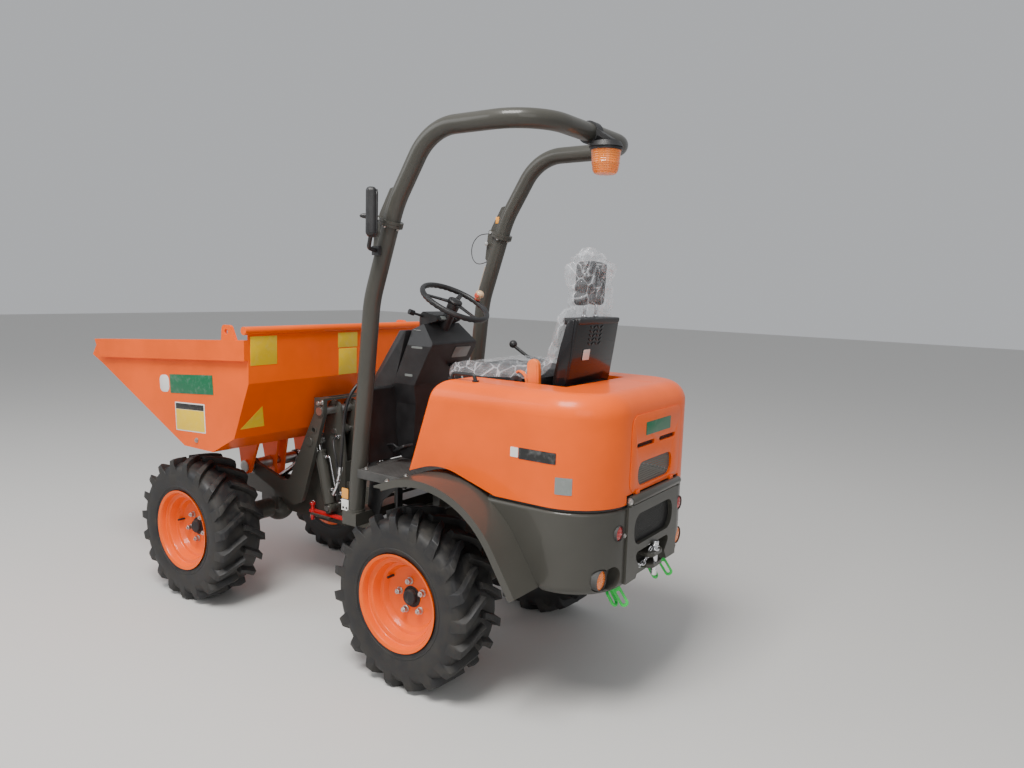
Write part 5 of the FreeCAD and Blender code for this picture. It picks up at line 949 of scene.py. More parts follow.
def dress_seat():
    """Cushion, back pad and headrest in black vinyl, the plastic back shell and its bare labels."""
    cushion = block((-1.190, -0.213, 1.294), (-0.736, 0.213, 1.352), corner=0.045, axis="Z", edge=0.012)
    puffed(cushion, 0.016, lowest=1.2912)
    sewn(cushion, lambda at: near(abs(at.y), 0.145, 0.006) * (at.z > 1.335) * (at.x < -0.79), 0.007)
    sewn(cushion, lambda at: near(at.x, -0.800, 0.006) * (at.z > 1.335) * (abs(at.y) < 0.150), 0.007)
    piping = welt(cushion, (-0.963, 0, 1.340), (0.5, 0, 0), (0, 0.5, 0), 0.0034)
    finished(cushion, "seat_cushion_pad", "bonnet", "seat_vinyl", 60.0)
    finished(piping, "seat_cushion_piping", "bonnet", "seat_vinyl", 60.0)
    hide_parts("seat_cushion")

    pad = drawn([(-1.212, 1.300), (-1.240, 1.300), (-1.300, 1.585), (-1.276, 1.585)], "Y", -0.172, 0.172)
    modify(pad, "BEVEL", width=0.011, segments=3, limit_method="ANGLE", angle_limit=math.radians(35))
    puffed(pad, 0.014)
    sewn(pad, lambda at: near(abs(at.y), 0.118, 0.006) * (at.z < 1.52), 0.006)
    sewn(pad, lambda at: near(at.z, 1.520, 0.006) * (abs(at.y) < 0.12), 0.006)
    finished(pad, "seat_back_pad", "bonnet", "seat_vinyl", 60.0)
    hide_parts("seat_back")

    outline = [(-1.242, 1.2915), (-1.262, 1.2915)] + arc(-1.262, 1.3355, 0.044, 270, 190, 6)
    outline += [(-1.328, 1.480), (-1.343, 1.588), (-1.336, 1.598), (-1.300, 1.598), (-1.306, 1.560)]
    shell = drawn(outline, "Y", -0.186, 0.186, edge=0.007)
    finished(shell, "seat_back_shell", "bonnet", "shell_black", 35.0)
    rim = drawn([(-1.262, 1.600), (-1.352, 1.600), (-1.349, 1.577), (-1.330, 1.568), (-1.268, 1.572)], "Y", -0.178, 0.178,
                edge=0.008)
    finished(rim, "seat_back_cap", "bonnet", "black_plastic", 35.0)
    cheek = drawn([(-1.262, 1.300), (-1.232, 1.330), (-1.262, 1.470), (-1.296, 1.592), (-1.330, 1.594), (-1.318, 1.480),
                   (-1.304, 1.335), (-1.290, 1.306)], "Y", 0.176, 0.192, edge=0.006)
    finished(join(*both_ways(cheek)), "seat_back_cheeks", "bonnet", "shell_black", 35.0)
    tilt = Matrix.Translation((-1.3250, 0, 1.4800)) @ Matrix.Rotation(math.radians(-8.0), 4, "Y")
    dash = block((-0.0020, -0.011, -0.0030), (0.0012, 0.011, 0.0030), corner=0.002, axis="X", edge=0.0006)
    marks = []
    for row in range(5):
        for column in range(4):
            lean = Matrix.Rotation(math.radians(25 if column % 2 else -25), 4, "X")
            marks.append(copy_of(dash, tilt @ Matrix.Translation((-0.0042, 0.030 * column - 0.030, 0.083 - 0.018 * row)) @ lean))
    bpy.data.objects.remove(dash)
    finished(join(*marks), "seat_back_ribs", "bonnet", "shell_black", 35.0)
    labels = [
        # y range, z range from the shell's middle
        (0.045, 0.100, -0.058, -0.012),
        (0.060, 0.094, -0.128, -0.102),
    ]
    plates = []
    for y0, y1, z0, z1 in labels:
        plate = block((-0.0010, y0, z0), (0.0004, y1, z1), corner=0.003, axis="X", edge=0.0003)
        lean = -0.0055 if z0 > -0.1 else 0.0035
        plates.append(copy_of(plate, tilt @ Matrix.Translation((lean, 0, 0))))
        bpy.data.objects.remove(plate)
    finished(join(*plates), "seat_back_labels", "bonnet", "sign_white", 35.0)

    rest = drawn([(-1.256, 1.650), (-1.318, 1.650), (-1.327, 1.838), (-1.268, 1.838)], "Y", -0.098, 0.098)
    modify(rest, "BEVEL", width=0.020, segments=4, limit_method="ANGLE", angle_limit=math.radians(35))
    puffed(rest, 0.008)
    finished(rest, "headrest_pad", "bonnet", "seat_vinyl", 60.0)
    posts = []
    for sign in (1, -1):
        posts.append(shaft((-1.296, sign * 0.050, 1.590), (-1.296, sign * 0.050, 1.680), 0.0065, 0.0015))
        posts.append(shaft((-1.296, sign * 0.050, 1.598), (-1.296, sign * 0.050, 1.612), 0.0125, 0.003))
    finished(join(*posts), "headrest_posts", "bonnet", "rod_chrome", 35.0)


def belt_parts():
    """Orange retractor covers with a rounded top, the folded belt in front and its black buckle."""
    for side, sign in (("left", 1.0), ("right", -1.0)):
        outline = [(-1.206, 1.292), (-1.150, 1.292)] + arc(-1.171, 1.395, 0.029, 0, 180, 12)
        inner = [(-1.198, 1.300), (-1.157, 1.300)] + arc(-1.171, 1.394, 0.0215, 0, 180, 12)
        y0, y1 = sorted((sign * 0.2265, sign * 0.2500))
        cover = drawn(outline, "Y", y0, y1, edge=0.0045)
        face = drawn(inner, "Y", *sorted((sign * 0.2490, sign * 0.2522)), edge=0.0012)
        piece = finished(join(cover, face), f"belt_cover_{side}", "bonnet", "belt_orange", 35.0)
        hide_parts("belt_covers")
        buckle = block((-1.118, *sorted((sign * 0.226, sign * 0.248))[:1], 1.2925),
                       (-1.062, sorted((sign * 0.226, sign * 0.248))[1], 1.345), corner=0.012, axis="Y", edge=0.003)
        button = block((-1.100, *sorted((sign * 0.230, sign * 0.2505))[:1], 1.325),
                       (-1.078, sorted((sign * 0.230, sign * 0.2505))[1], 1.3475), corner=0.004, axis="Y", edge=0.0015)
        finished(join(buckle, button), f"belt_buckle_{side}", "bonnet", "black_plastic", 35.0)
        fold = [(-1.146, 1.315), (-1.136, 1.352), (-1.120, 1.366), (-1.098, 1.372), (-1.084, 1.364),
                (-1.087, 1.358), (-1.100, 1.364), (-1.118, 1.357), (-1.130, 1.345), (-1.138, 1.312)]
        webbing = drawn(fold, "Y", *sorted((sign * 0.2275, sign * 0.2465)), edge=0.0008)
        finished(webbing, f"belt_webbing_{side}", "bonnet", "belt_orange", 35.0)


def crumple(at, scale, seed):
    """Sharp-edged folds, as in stiff thin film, from 0 to 1."""
    shifted = at * scale + Vector((seed, 2.3 * seed, -seed))
    near_ones = noise.voronoi(shifted)[0]
    return min(1.0, (near_ones[1] - near_ones[0]) * 1.6)


def film_back_and_cushion():
    """Clear film laid down the seat back's front and over the cushion, its sides hanging."""
    path = [
        # x, z, half width of what it lies on, lift off it
        (-1.268, 1.640, 0.115, 0.020), (-1.262, 1.600, 0.185, 0.014), (-1.238, 1.500, 0.192, 0.010),
        (-1.214, 1.420, 0.195, 0.010), (-1.190, 1.388, 0.205, 0.012), (-1.120, 1.378, 0.224, 0.008),
        (-0.960, 1.380, 0.228, 0.006), (-0.800, 1.376, 0.228, 0.006), (-0.738, 1.366, 0.224, 0.008),
        (-0.714, 1.340, 0.220, 0.008), (-0.708, 1.306, 0.218, 0.006),
    ]
    runs = [0.0]
    for a, b in zip(path, path[1:]):
        runs.append(runs[-1] + math.hypot(b[0] - a[0], b[1] - a[1]))

    def along(share):
        reach = share * runs[-1]
        n = max(i for i in range(len(runs) - 1) if runs[i] <= reach + 1e-9)
        part = (reach - runs[n]) / (runs[n + 1] - runs[n])
        row = [a + part * (b - a) for a, b in zip(path[n], path[n + 1])]
        step = Vector((path[n + 1][0] - path[n][0], 0, path[n + 1][1] - path[n][1])).normalized()
        return row, Vector((-step.z, 0, step.x))
    film = start(bpy.ops.mesh.primitive_grid_add, x_subdivisions=150, y_subdivisions=100, size=1.0)
    for vertex in film.data.vertices:
        (x, z, half, lift), up = along(min(0.9999, max(0.0, vertex.co.x + 0.5)))
        share = 2 * vertex.co.y
        reach = share * (half + 0.055 + 0.018 * noise.noise(Vector((3.0 * vertex.co.x, 4.0 * share, 7.0))))
        over = max(0.0, abs(reach) - half)
        flat = min(abs(reach), half)
        at = Vector((x, math.copysign(flat + 0.35 * over, reach), z)) + up * lift - up * over * 0.93
        loose = 1.0 if z > 1.42 else 0.35
        fold = (crumple(at, 9.0, 1.7) * 0.018 + crumple(at, 23.0, 5.1) * 0.005) * loose
        out = (up + Vector((0, math.copysign(min(1.0, over / 0.02), reach), 0))).normalized()
        vertex.co = at + out * fold
    film.data.update()
    return film


def film_over_headrest():
    """A loose bag of film over the headrest, gathered under it."""
    bag = start(bpy.ops.mesh.primitive_cube_add, size=1.0, location=(-1.292, 0, 1.745))
    bag.scale = (0.100, 0.245, 0.240)
    settle(bag)
    edit(bag)
    pick(bag, lambda middle, normal: normal.z < -0.5)
    bpy.ops.mesh.delete(type="FACE")
    bpy.ops.mesh.select_all(action="SELECT")
    bpy.ops.mesh.subdivide(number_cuts=36)
    out_of_edit()
    centre = Vector((-1.292, 0, 1.745))
    for vertex in bag.data.vertices:
        at = vertex.co - centre
        corner = (abs(at.x / 0.050) ** 4 + abs(at.y / 0.1225) ** 4 + (abs(at.z / 0.120) ** 4 if at.z > 0 else 0.0)) ** 0.25
        at = at * (1.0 / max(1.0, corner))
        at = Vector((at.x * 1.06, at.y * 1.02, at.z))
        if at.z < -0.05:
            pull = min(1.0, (-at.z - 0.05) / 0.07)
            at.y *= 1.0 - 0.10 * pull
            at.x *= 1.0 - 0.12 * pull
        fold = crumple(vertex.co, 11.0, 3.3) * 0.034 + crumple(vertex.co, 26.0, 8.2) * 0.008 - 0.004
        vertex.co = centre + at + at.normalized() * fold
    bag.data.update()
    return bag


def dress_film():
    bag = finished(film_over_headrest(), "headrest_film", "bonnet", "clear_film", 25.0)
    lap = finished(film_back_and_cushion(), "seat_film", "bonnet", "clear_film", 25.0)


dress_seat()
belt_parts()
dress_film()


# Steering wheel, instruments and console
HUB = Vector((-0.551, 0.0, 1.637))
COLUMN_TILT = math.radians(28.0)


def on_column(obj):
    """Take a piece made flat round the origin up to the steering wheel's place."""
    twin = copy_of(obj, Matrix.Translation(HUB) @ Matrix.Rotation(-COLUMN_TILT, 4, "Y"))
    bpy.data.objects.remove(obj)
    return twin


def dress_steering():
    """Rim with finger grips, three flat spokes with a hole, a capped boss and a turning knob."""
    rim = start(bpy.ops.mesh.primitive_torus_add, major_radius=0.168, minor_radius=0.0128, major_segments=144,
                minor_segments=18)
    edit(rim)
    pick(rim, lambda middle, normal: normal.z < -0.3)
    bpy.ops.transform.resize(value=(1, 1, 1.12), center_override=(0, 0, 0))
    out_of_edit()
    for vertex in rim.data.vertices:
        angle = math.atan2(vertex.co.y, vertex.co.x)
        if vertex.co.z < 0.002:
            vertex.co.z *= 1.0 + 0.10 * math.cos(36 * angle)
    spokes = []
    for angle in (180, 60, -60):
        bar = drawn([(0.020, -0.017), (0.060, -0.0125), (0.150, -0.0100), (0.164, -0.0150), (0.164, 0.0150),
                     (0.150, 0.0100), (0.060, 0.0125), (0.020, 0.017)], "Z", -0.0040, 0.0035)
        hole = shaft((0.075, 0, -0.02), (0.075, 0, 0.02), 0.006, 0.0)
        cut_out(bar, hole)
        modify(bar, "BEVEL", width=0.0012, segments=2, limit_method="ANGLE", angle_limit=math.radians(50))
        spokes.append(copy_of(bar, Matrix.Rotation(math.radians(angle), 4, "Z") @ Matrix.Translation((0, 0, -0.004))))
        bpy.data.objects.remove(bar)
    profile = [(-0.045, 0.0), (-0.045, 0.026), (-0.038, 0.030), (-0.006, 0.0305), (0.0, 0.036), (0.006, 0.036),
               (0.010, 0.033), (0.011, 0.026), (0.0085, 0.0245), (0.010, 0.022), (0.013, 0.015), (0.0138, 0.0)]
    boss = spun(profile, 48)
    upright = copy_of(boss, Matrix.Rotation(math.radians(90), 4, "X"))
    bpy.data.objects.remove(boss)
    wheel = finished(on_column(join(rim, upright, *spokes)), "steering_rim", "steering_wheel", "black_plastic", 35.0)
    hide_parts("steering_wheel")
    profile = [(0.0, 0.0), (0.0, 0.011), (0.010, 0.0095), (0.014, 0.012), (0.020, 0.0185), (0.028, 0.0222), (0.036, 0.0222),
               (0.044, 0.0185), (0.050, 0.010), (0.0515, 0.0)]
    knob = spun(profile, 40)
    stood = copy_of(knob, Matrix.Translation((0, -0.168, 0.0125)) @ Matrix.Rotation(math.radians(90), 4, "X"))
    bpy.data.objects.remove(knob)
    finished(on_column(stood), "steering_knob", "steering_wheel", "knob_cream", 50.0)
    cap = shaft((0, -0.150, 0.038), (-0.001, -0.1445, 0.0395), 0.0125, 0.0015, 32)
    band = shaft((0, -0.168, 0.0128), (0, -0.168, 0.0185), 0.0150, 0.0015, 32)
    finished(on_column(join(cap, band)), "steering_knob_cap", "steering_wheel", "knob_red", 40.0)


def dress_console():
    """Screen and switches on the pod, and bare labels on the cowl."""
    face = Matrix.Translation((-0.5135, 0, 1.5585)) @ Matrix.Rotation(math.radians(32.0), 4, "Y")
    frame_plate = block((-0.0030, 0.008, -0.0145), (0.0010, 0.078, 0.0145), corner=0.004, axis="X", edge=0.0008)
    screen = block((-0.0042, 0.018, -0.0095), (-0.0026, 0.062, 0.0095), corner=0.002, axis="X", edge=0.0003)
    plate = copy_of(frame_plate, face)
    shown = copy_of(screen, face)
    switches = [plate]
    for y in (-0.020, -0.046, -0.072):
        rocker = block((-0.0055, y - 0.009, -0.011), (0.0010, y + 0.009, 0.011), corner=0.003, axis="X", edge=0.0012)
        switches.append(copy_of(rocker, face))
        bpy.data.objects.remove(rocker)
    bpy.data.objects.remove(frame_plate)
    bpy.data.objects.remove(screen)
    finished(join(*switches), "pod_switches", "rear_body", "black_plastic", 35.0)
    finished(shown, "pod_screen", "rear_body", "screen_grey", 35.0)

    marks = [block((-0.500, 0.1748, 1.4140), (-0.432, 0.1762, 1.4240), corner=0.003, axis="Y", edge=0.0004),
             block((-0.440, 0.1748, 1.2760), (-0.392, 0.1762, 1.2880), corner=0.003, axis="Y", edge=0.0004)]
    finished(join(*marks), "console_labels", "rear_body", "screen_grey", 35.0)


dress_steering()
dress_console()


# Bare plates and stickers, each a thin film on the panel that carries it
def bonnet_side_y(x):
    """The bonnet's left side: flat at the front, round towards the rear corner."""
    past = max(0.0, -1.393 - x)
    return 0.485 - 0.240 + math.sqrt(0.240 ** 2 - past ** 2)


def side_film(x0, x1, z0, z1):
    """A film that follows the bonnet's rounded side."""
    film = block((x0, 0.0, z0), (x1, 0.0010, z1), corner=0.003, axis="Y", edge=0.0)
    edit(film)
    for n in range(1, 12):
        bpy.ops.mesh.select_all(action="SELECT")
        bpy.ops.mesh.bisect(plane_co=(x0 + (x1 - x0) * n / 12, 0, 0), plane_no=(1, 0, 0))
    out_of_edit()
    for vertex in film.data.vertices:
        vertex.co.y += bonnet_side_y(vertex.co.x) + 0.0003
    return film


def dress_signs():
    finished(side_film(-1.441, -1.273, 1.056, 1.101), "bonnet_side_plate", "bonnet", "sign_black", 30.0)
    finished(side_film(-1.271, -1.234, 1.060, 1.099), "bonnet_side_plate_end", "bonnet", "sign_white", 30.0)
    finished(side_film(-1.504, -1.440, 0.942, 1.009), "bonnet_side_label", "bonnet", "screen_grey", 30.0)
    lean = Matrix.Translation((0.750, 0.6022, 1.162)) @ Matrix.Rotation(math.radians(4.2), 4, "Y")
    white = block((0.150, 0, -0.046), (0.236, 0.0010, 0.046), corner=0.030, axis="Y", edge=0.0003)
    green = block((-0.235, 0, -0.050), (0.140, 0.0014, 0.050), corner=0.004, axis="Y", edge=0.0003)
    finished(copy_of(white, lean), "skip_sign_white", "skip", "sign_white", 30.0)
    finished(copy_of(green, lean), "skip_sign_green", "skip", "badge_green", 30.0)
    lean = Matrix.Translation((0.716, 0.6022, 0.990)) @ Matrix.Rotation(math.radians(3.0), 4, "Y")
    back = block((-0.130, 0, -0.076), (0.130, 0.0008, 0.076), corner=0.004, axis="Y", edge=0.0002)
    amber = block((-0.123, 0, -0.070), (0.123, 0.0014, 0.038), corner=0.002, axis="Y", edge=0.0002)
    black = block((-0.123, 0, 0.040), (0.123, 0.0014, 0.070), corner=0.002, axis="Y", edge=0.0002)
    finished(copy_of(back, lean), "skip_notice_edge", "skip", "sign_white", 30.0)
    finished(copy_of(amber, lean), "skip_notice_yellow", "skip", "sign_yellow", 30.0)
    finished(copy_of(black, lean), "skip_notice_black", "skip", "sign_black", 30.0)
    for obj in (white, green, back, amber, black):
        bpy.data.objects.remove(obj)
    stickers = [block((0.2306, 0.432, 1.300), (0.2318, 0.590, 1.442), corner=0.003, axis="X", edge=0.0003),
                block((0.2306, -0.117, 1.362), (0.2318, 0.026, 1.442), corner=0.003, axis="X", edge=0.0003),
                block((0.2306, -0.112, 1.214), (0.2318, 0.020, 1.356), corner=0.003, axis="X", edge=0.0003)]
    slope = Matrix.Translation((0.232, 0, 1.212)) @ Matrix.Rotation(math.atan2(0.118, 0.287), 4, "Y").inverted()
    triangle = drawn([(0.483, -0.136), (0.437, -0.258), (0.581, -0.258)], "X", -0.0015, -0.0004)
    modify(triangle, "BEVEL", width=0.0003, segments=1, limit_method="ANGLE", angle_limit=math.radians(60))
    stickers.append(copy_of(triangle, slope))
    bpy.data.objects.remove(triangle)
    finished(join(*stickers), "skip_stickers", "skip", "sign_yellow", 30.0)
    bolts("skip_side_bolts", "skip", [((0.662, sign * 0.6021, 0.876), (0, sign, 0)) for sign in (1, -1)], 0.010, 0.006)


# Hinge sleeve, step ribs, bolts and the apron beside the console
def dress_body():
    sleeve = shaft((-1.641, -0.232, 0.898), (-1.641, 0.232, 0.898), 0.0188, 0.0015, 40)
    finished(sleeve, "hinge_sleeve", "bonnet", "grey_paint", 40.0)
    caps = []
    for sign in (1, -1):
        caps.append(shaft((-1.641, sign * 0.2325, 0.898), (-1.641, sign * 0.243, 0.898), 0.0150, 0.0025, 32))
        caps.append(shaft((-1.641, sign * 0.243, 0.898), (-1.641, sign * 0.247, 0.898), 0.0075, 0.001, 6))
    finished(join(*caps), "hinge_caps", "rear_body", "pin_steel", 40.0)

    rib = block((-0.0035, 0.196, 0.8648), (0.0035, 0.458, 0.8672), corner=0.0015, axis="Z", edge=0.0008)
    ribs = []
    for n in range(18):
        for side in (1.0, -1.0):
            flip = Matrix.Scale(side, 4, Vector((0, 1, 0)))
            ribs.append(copy_of(rib, Matrix.Translation((-0.655 + 0.0155 * n, 0, 0)) @ flip))
    bpy.data.objects.remove(rib)
    finished(join(*ribs), "step_ribs", "rear_body", "floor_rubber", 40.0)

    edge_strip = block((-0.672, 0.4705, 0.8265), (-0.380, 0.4745, 0.8670), corner=0.002, axis="X", edge=0.0012)
    finished(join(*both_ways(edge_strip)), "step_edges", "rear_body", "floor_rubber", 40.0)

    seats = []
    for sign in (1, -1):
        seats += [((-0.648, sign * 0.440, 0.8738), (0, 0, 1)), ((-0.648, sign * 0.560, 0.8738), (0, 0, 1)),
                  ((-0.402, sign * 0.440, 0.8652), (0, 0, 1))]
    bolts("step_bolts", "rear_body", seats, 0.0085, 0.006)

    apron = drawn([(-0.352, 0.872), (-0.318, 0.872), (-0.296, 0.960), (-0.290, 1.205), (-0.300, 1.225), (-0.318, 1.215),
                   (-0.322, 0.980)], "Y", 0.150, 0.372, edge=0.004)
    finished(join(*both_ways(apron)), "console_aprons", "rear_body", "black_plastic", 40.0)

    pedal = block((-0.472, 0.188, 0.930), (-0.392, 0.262, 0.942), corner=0.012, axis="Z", edge=0.002)
    lone(pedal)
    edit(pedal)
    bpy.ops.mesh.select_all(action="SELECT")
    bpy.ops.transform.rotate(value=math.radians(-28), orient_axis="Y", center_override=(-0.432, 0.225, 0.936))
    out_of_edit()
    arm = wire([(-0.425, 0.225, 0.935), (-0.400, 0.225, 0.925), (-0.362, 0.225, 0.950), (-0.320, 0.225, 0.930)], 0.007)
    finished(join(pedal, arm, *[mirrored(obj) for obj in (pedal, arm)]), "pedals", "rear_body", "black_plastic", 40.0)

    plate = block((-0.0010, -0.060, -0.030), (0.0015, 0.060, 0.030), corner=0.006, axis="X", edge=0.0005)
    slope = Matrix.Translation((-0.5350, -0.075, 1.3920)) @ Matrix.Rotation(math.radians(-27.6), 4, "Y")
    finished(copy_of(plate, slope @ Matrix.Translation((-0.0016, 0, 0))), "console_panel", "rear_body", "screen_grey", 40.0)
    bpy.data.objects.remove(plate)
    knobs = []
    for n in range(4):
        at = Vector((-0.5010, -0.030 - 0.028 * n, 1.3270))
        knobs.append(shaft(at, at + Vector((-0.016, 0, -0.0084)), 0.0095, 0.002, 24))
    finished(join(*knobs), "console_knobs", "rear_body", "shell_black", 40.0)


dress_signs()
dress_body()


# Arms, tower, cylinders, lock bar and tags
def ring_boss(at, towards, radius, bore, height):
    """A turned ring round a pin's end."""
    ring = spun([(0.0, bore), (0.0, radius), (0.7 * height, radius), (height, 0.93 * radius), (height, 1.08 * bore),
                 (0.85 * height, bore)], 40, closed=True)
    twin = copy_of(ring, facing(at, towards))
    bpy.data.objects.remove(ring)
    return twin


def dress_arms():
    heads = []
    rings = []
    for sign in (1, -1):
        out = (0, sign, 0)
        heads += [((0.203, sign * 0.1662, 1.078), out), ((0.231, sign * 0.1662, 1.070), out)]
        rings.append(ring_boss((0.218, sign * 0.1662, 1.030), out, 0.030, 0.018, 0.006))
        rings.append(ring_boss((0.265, sign * 0.1662, 0.921), out, 0.021, 0.0142, 0.004))
        rings.append(ring_boss((0.297, sign * 0.1662, 0.856), out, 0.025, 0.012, 0.007))
        rings.append(ring_boss((0.790, sign * 0.2068, 0.650), out, 0.036, 0.020, 0.006))
    bolts("arm_bolts", "lift_arms", heads, 0.0095, 0.007)
    finished(join(*rings[0:3], *rings[4:7]), "arm_rings", "lift_arms", "grey_paint", 35.0)
    finished(join(rings[3], rings[7]), "skip_pin_rings", "skip", "orange_paint", 35.0)


def dress_cylinders():
    """Ports, unions and the steel pipe up each lift cylinder, gland rings, and ports with unions on the tipping one."""
    base = Vector((0.203, 0, 0.495))
    eye = Vector((0.297, 0, 0.856))
    axis = (eye - base).normalized()
    back = Vector((-axis.z, 0, axis.x))
    bright = []
    dark = []
    for sign in (1, -1):
        side = Vector((0, sign * 0.105, 0))
        for reach in (0.095, 0.275):
            port = base + side + axis * reach
            bright.append(shaft(port + back * 0.026, port + back * 0.046, 0.0115, 0.002, 6))
            bright.append(shaft(port + back * 0.044, port + back * 0.060, 0.0085, 0.0015, 20))
        low = base + side + axis * 0.095
        high = base + side + axis * 0.275
        bright.append(wire([low + back * 0.055, low + back * 0.068, low + back * 0.068 + axis * 0.03,
                            high + back * 0.066 - axis * 0.03, high + back * 0.066, high + back * 0.052], 0.0052))
        dark.append(ring_boss(base + side + axis * 0.3045, axis, 0.0325, 0.0155, 0.014))
    finished(join(*bright), "lift_cylinder_pipes", "lift_barrels", "rod_chrome", 40.0)
    finished(join(*dark), "lift_cylinder_glands", "lift_barrels", "grey_paint", 40.0)
    base = Vector((0.217, 0, 0.911))
    eye = Vector((0.789, 0, 0.531))
    axis = (eye - base).normalized()
    above = Vector((-axis.z, 0, axis.x))
    parts = []
    for reach in (0.085, 0.395):
        port = base + axis * reach
        parts.append(shaft(port + above * 0.030, port + above * 0.050, 0.012, 0.002, 6))
        parts.append(shaft(port + above * 0.048, port + above * 0.062, 0.0088, 0.0015, 20))
    finished(join(*parts), "tip_cylinder_unions", "tip_barrel", "rod_chrome", 40.0)


def dress_lock():
    """Clip and split ring on the parked lock bar, and the two bare tags at the post's foot."""
    x, y = 0.349, 0.100
    clip = wire([(x - 0.022, y + 0.004, 0.405), (x, y + 0.004, 0.4055), (x + 0.020, y, 0.406), (x + 0.026, y - 0.004, 0.414),
                 (x + 0.018, y - 0.008, 0.422), (x - 0.004, y - 0.012, 0.419), (x - 0.018, y - 0.012, 0.414)], 0.0018)
    ring = wire([(x + 0.014 * math.cos(a), y + 0.014 * math.sin(a), 0.497 + 0.006 * math.cos(a))
                 for a in [math.tau * n / 8 for n in range(8)]], 0.0020, closed=True)
    finished(join(clip, ring), "lock_bar_clip", "front_body", "rod_chrome", 60.0)
    tag = block((-0.304, 0.4578, 0.708), (-0.262, 0.4590, 0.758), corner=0.004, axis="Y", edge=0.0004)
    finished(tag, "post_tag_orange", "rear_body", "tag_orange", 35.0)
    tag = block((-0.306, 0.4578, 0.650), (-0.260, 0.4590, 0.704), corner=0.004, axis="Y", edge=0.0004)
    finished(tag, "post_tag_pale", "rear_body", "sign_white", 35.0)
    dots = [shaft((x, 0.4588, 0.664), (x, 0.4598, 0.664), 0.006, 0.0003, 24) for x in (-0.294, -0.272)]
    finished(join(*dots), "post_tag_dots", "rear_body", "sign_black", 35.0)


dress_arms()
dress_cylinders()
dress_lock()


# Roll bar, mirror and beacon
UP_POST = Vector((-0.3112, 0.0, 0.9504))
OUT_POST = Vector((0.9504, 0.0, 0.3112))


def by_joint(a, b, y):
    """A place a in front of the fold joint's middle and b above its face."""
    return Vector((-0.520, y, 1.979)) + OUT_POST * a + UP_POST * b


def dress_roll_bar():
    bright, ties, pins = [], [], []
    for y in (0.418, -0.418):
        a, c = by_joint(0.056, -0.062, y - 0.034), by_joint(0.056, -0.062, y + 0.034)
        pins += [shaft(a, c, 0.0060, 0.001, 20), shaft(c, c + Vector((0, 0.005, 0)), 0.0110, 0.0015, 24)]
        bright.append(wire([a + Vector((-0.004, 0.003, 0.000)), a + Vector((0.010, 0.003, -0.020)),
                            a + Vector((0.004, 0.003, -0.042)), a + Vector((-0.010, 0.003, -0.036)),
                            a + Vector((-0.012, 0.003, -0.012)), a + Vector((0.006, 0.003, 0.006))], 0.0017))
    finished(join(*pins), "fold_lock_pins", "rear_body", "pin_steel", 40.0)
    finished(join(*bright), "fold_lock_clips", "rear_body", "rod_chrome", 60.0)
    seats = []
    for sign in (1, -1):
        for angle in (100, 180, 260):
            side = Vector((math.cos(math.radians(angle)), 0, 0))
            at = by_joint(0.046 * side.x, -0.0133, sign * 0.418 + 0.046 * math.sin(math.radians(angle)))
            seats.append((at, -UP_POST))
    bolts("fold_flange_bolts", "rear_body", seats, 0.0065, 0.005)
    y = -0.418
    hanging = [shaft(by_joint(0.066, -0.085, y - 0.030), by_joint(0.066, -0.165, y - 0.026), 0.0050, 0.001, 16),
               wire([by_joint(0.066, -0.080, y - 0.030) + Vector((0.009 * math.cos(a), 0, 0.009 * math.sin(a)))
                     for a in [math.tau * n / 8 for n in range(8)]], 0.0018, closed=True)]
    finished(join(*hanging), "spare_pin", "rear_body", "rod_chrome", 40.0)
    strap = drawn([(by_joint(0.0405, -0.180, 0).x, by_joint(0.0405, -0.180, 0).z),
                   (by_joint(0.0450, -0.180, 0).x, by_joint(0.0450, -0.180, 0).z),
                   (by_joint(0.0440, -0.330, 0).x, by_joint(0.0440, -0.330, 0).z),
                   (by_joint(0.0405, -0.330, 0).x, by_joint(0.0405, -0.330, 0).z)], "Y", y - 0.010, y + 0.010, edge=0.0008)
    finished(strap, "post_strap", "rear_body", "strap_cream", 40.0)
    label = block((-0.0008, -0.011, -0.017), (0.0010, 0.011, 0.017), corner=0.002, axis="X", edge=0.0004)
    turn = Matrix.Rotation(math.radians(-90), 4, "Z")
    finished(copy_of(label, Matrix.Translation(by_joint(0.050, 0.070, -0.4095)) @ turn), "hoop_tag", "roll_hoop",
             "tag_orange", 35.0)
    bpy.data.objects.remove(label)


def dress_mirror():
    seat = Matrix.Translation((-0.536, 0.555, 2.012)) @ Matrix.Rotation(math.radians(43.0), 4, "Z")
    glass = block((-0.0238, -0.052, -0.088), (-0.0222, 0.052, 0.088), corner=0.022, axis="X", edge=0.0005)
    finished(copy_of(glass, seat), "mirror_pane", "rear_body", "mirror_glass", 40.0)
    rim = block((-0.0258, -0.0575, -0.0940), (-0.0200, 0.0575, 0.0940), corner=0.026, axis="X", edge=0.0015)
    cut_out(rim, block((-0.05, -0.0515, -0.0875), (0.05, 0.0515, 0.0875), corner=0.0215, axis="X", edge=0.0))
    finished(copy_of(rim, seat), "mirror_rim", "rear_body", "black_plastic", 40.0)
    knob = spun([(0.0, 0.0), (0.0, 0.012), (0.014, 0.010), (0.026, 0.0065), (0.030, 0.0)], 24)
    turn = Matrix.Rotation(math.radians(-90), 4, "Z")
    finished(copy_of(knob, seat @ Matrix.Translation((0.020, 0, -0.015)) @ turn), "mirror_stud", "rear_body",
             "black_plastic", 40.0)
    for obj in (glass, rim, knob):
        bpy.data.objects.remove(obj)


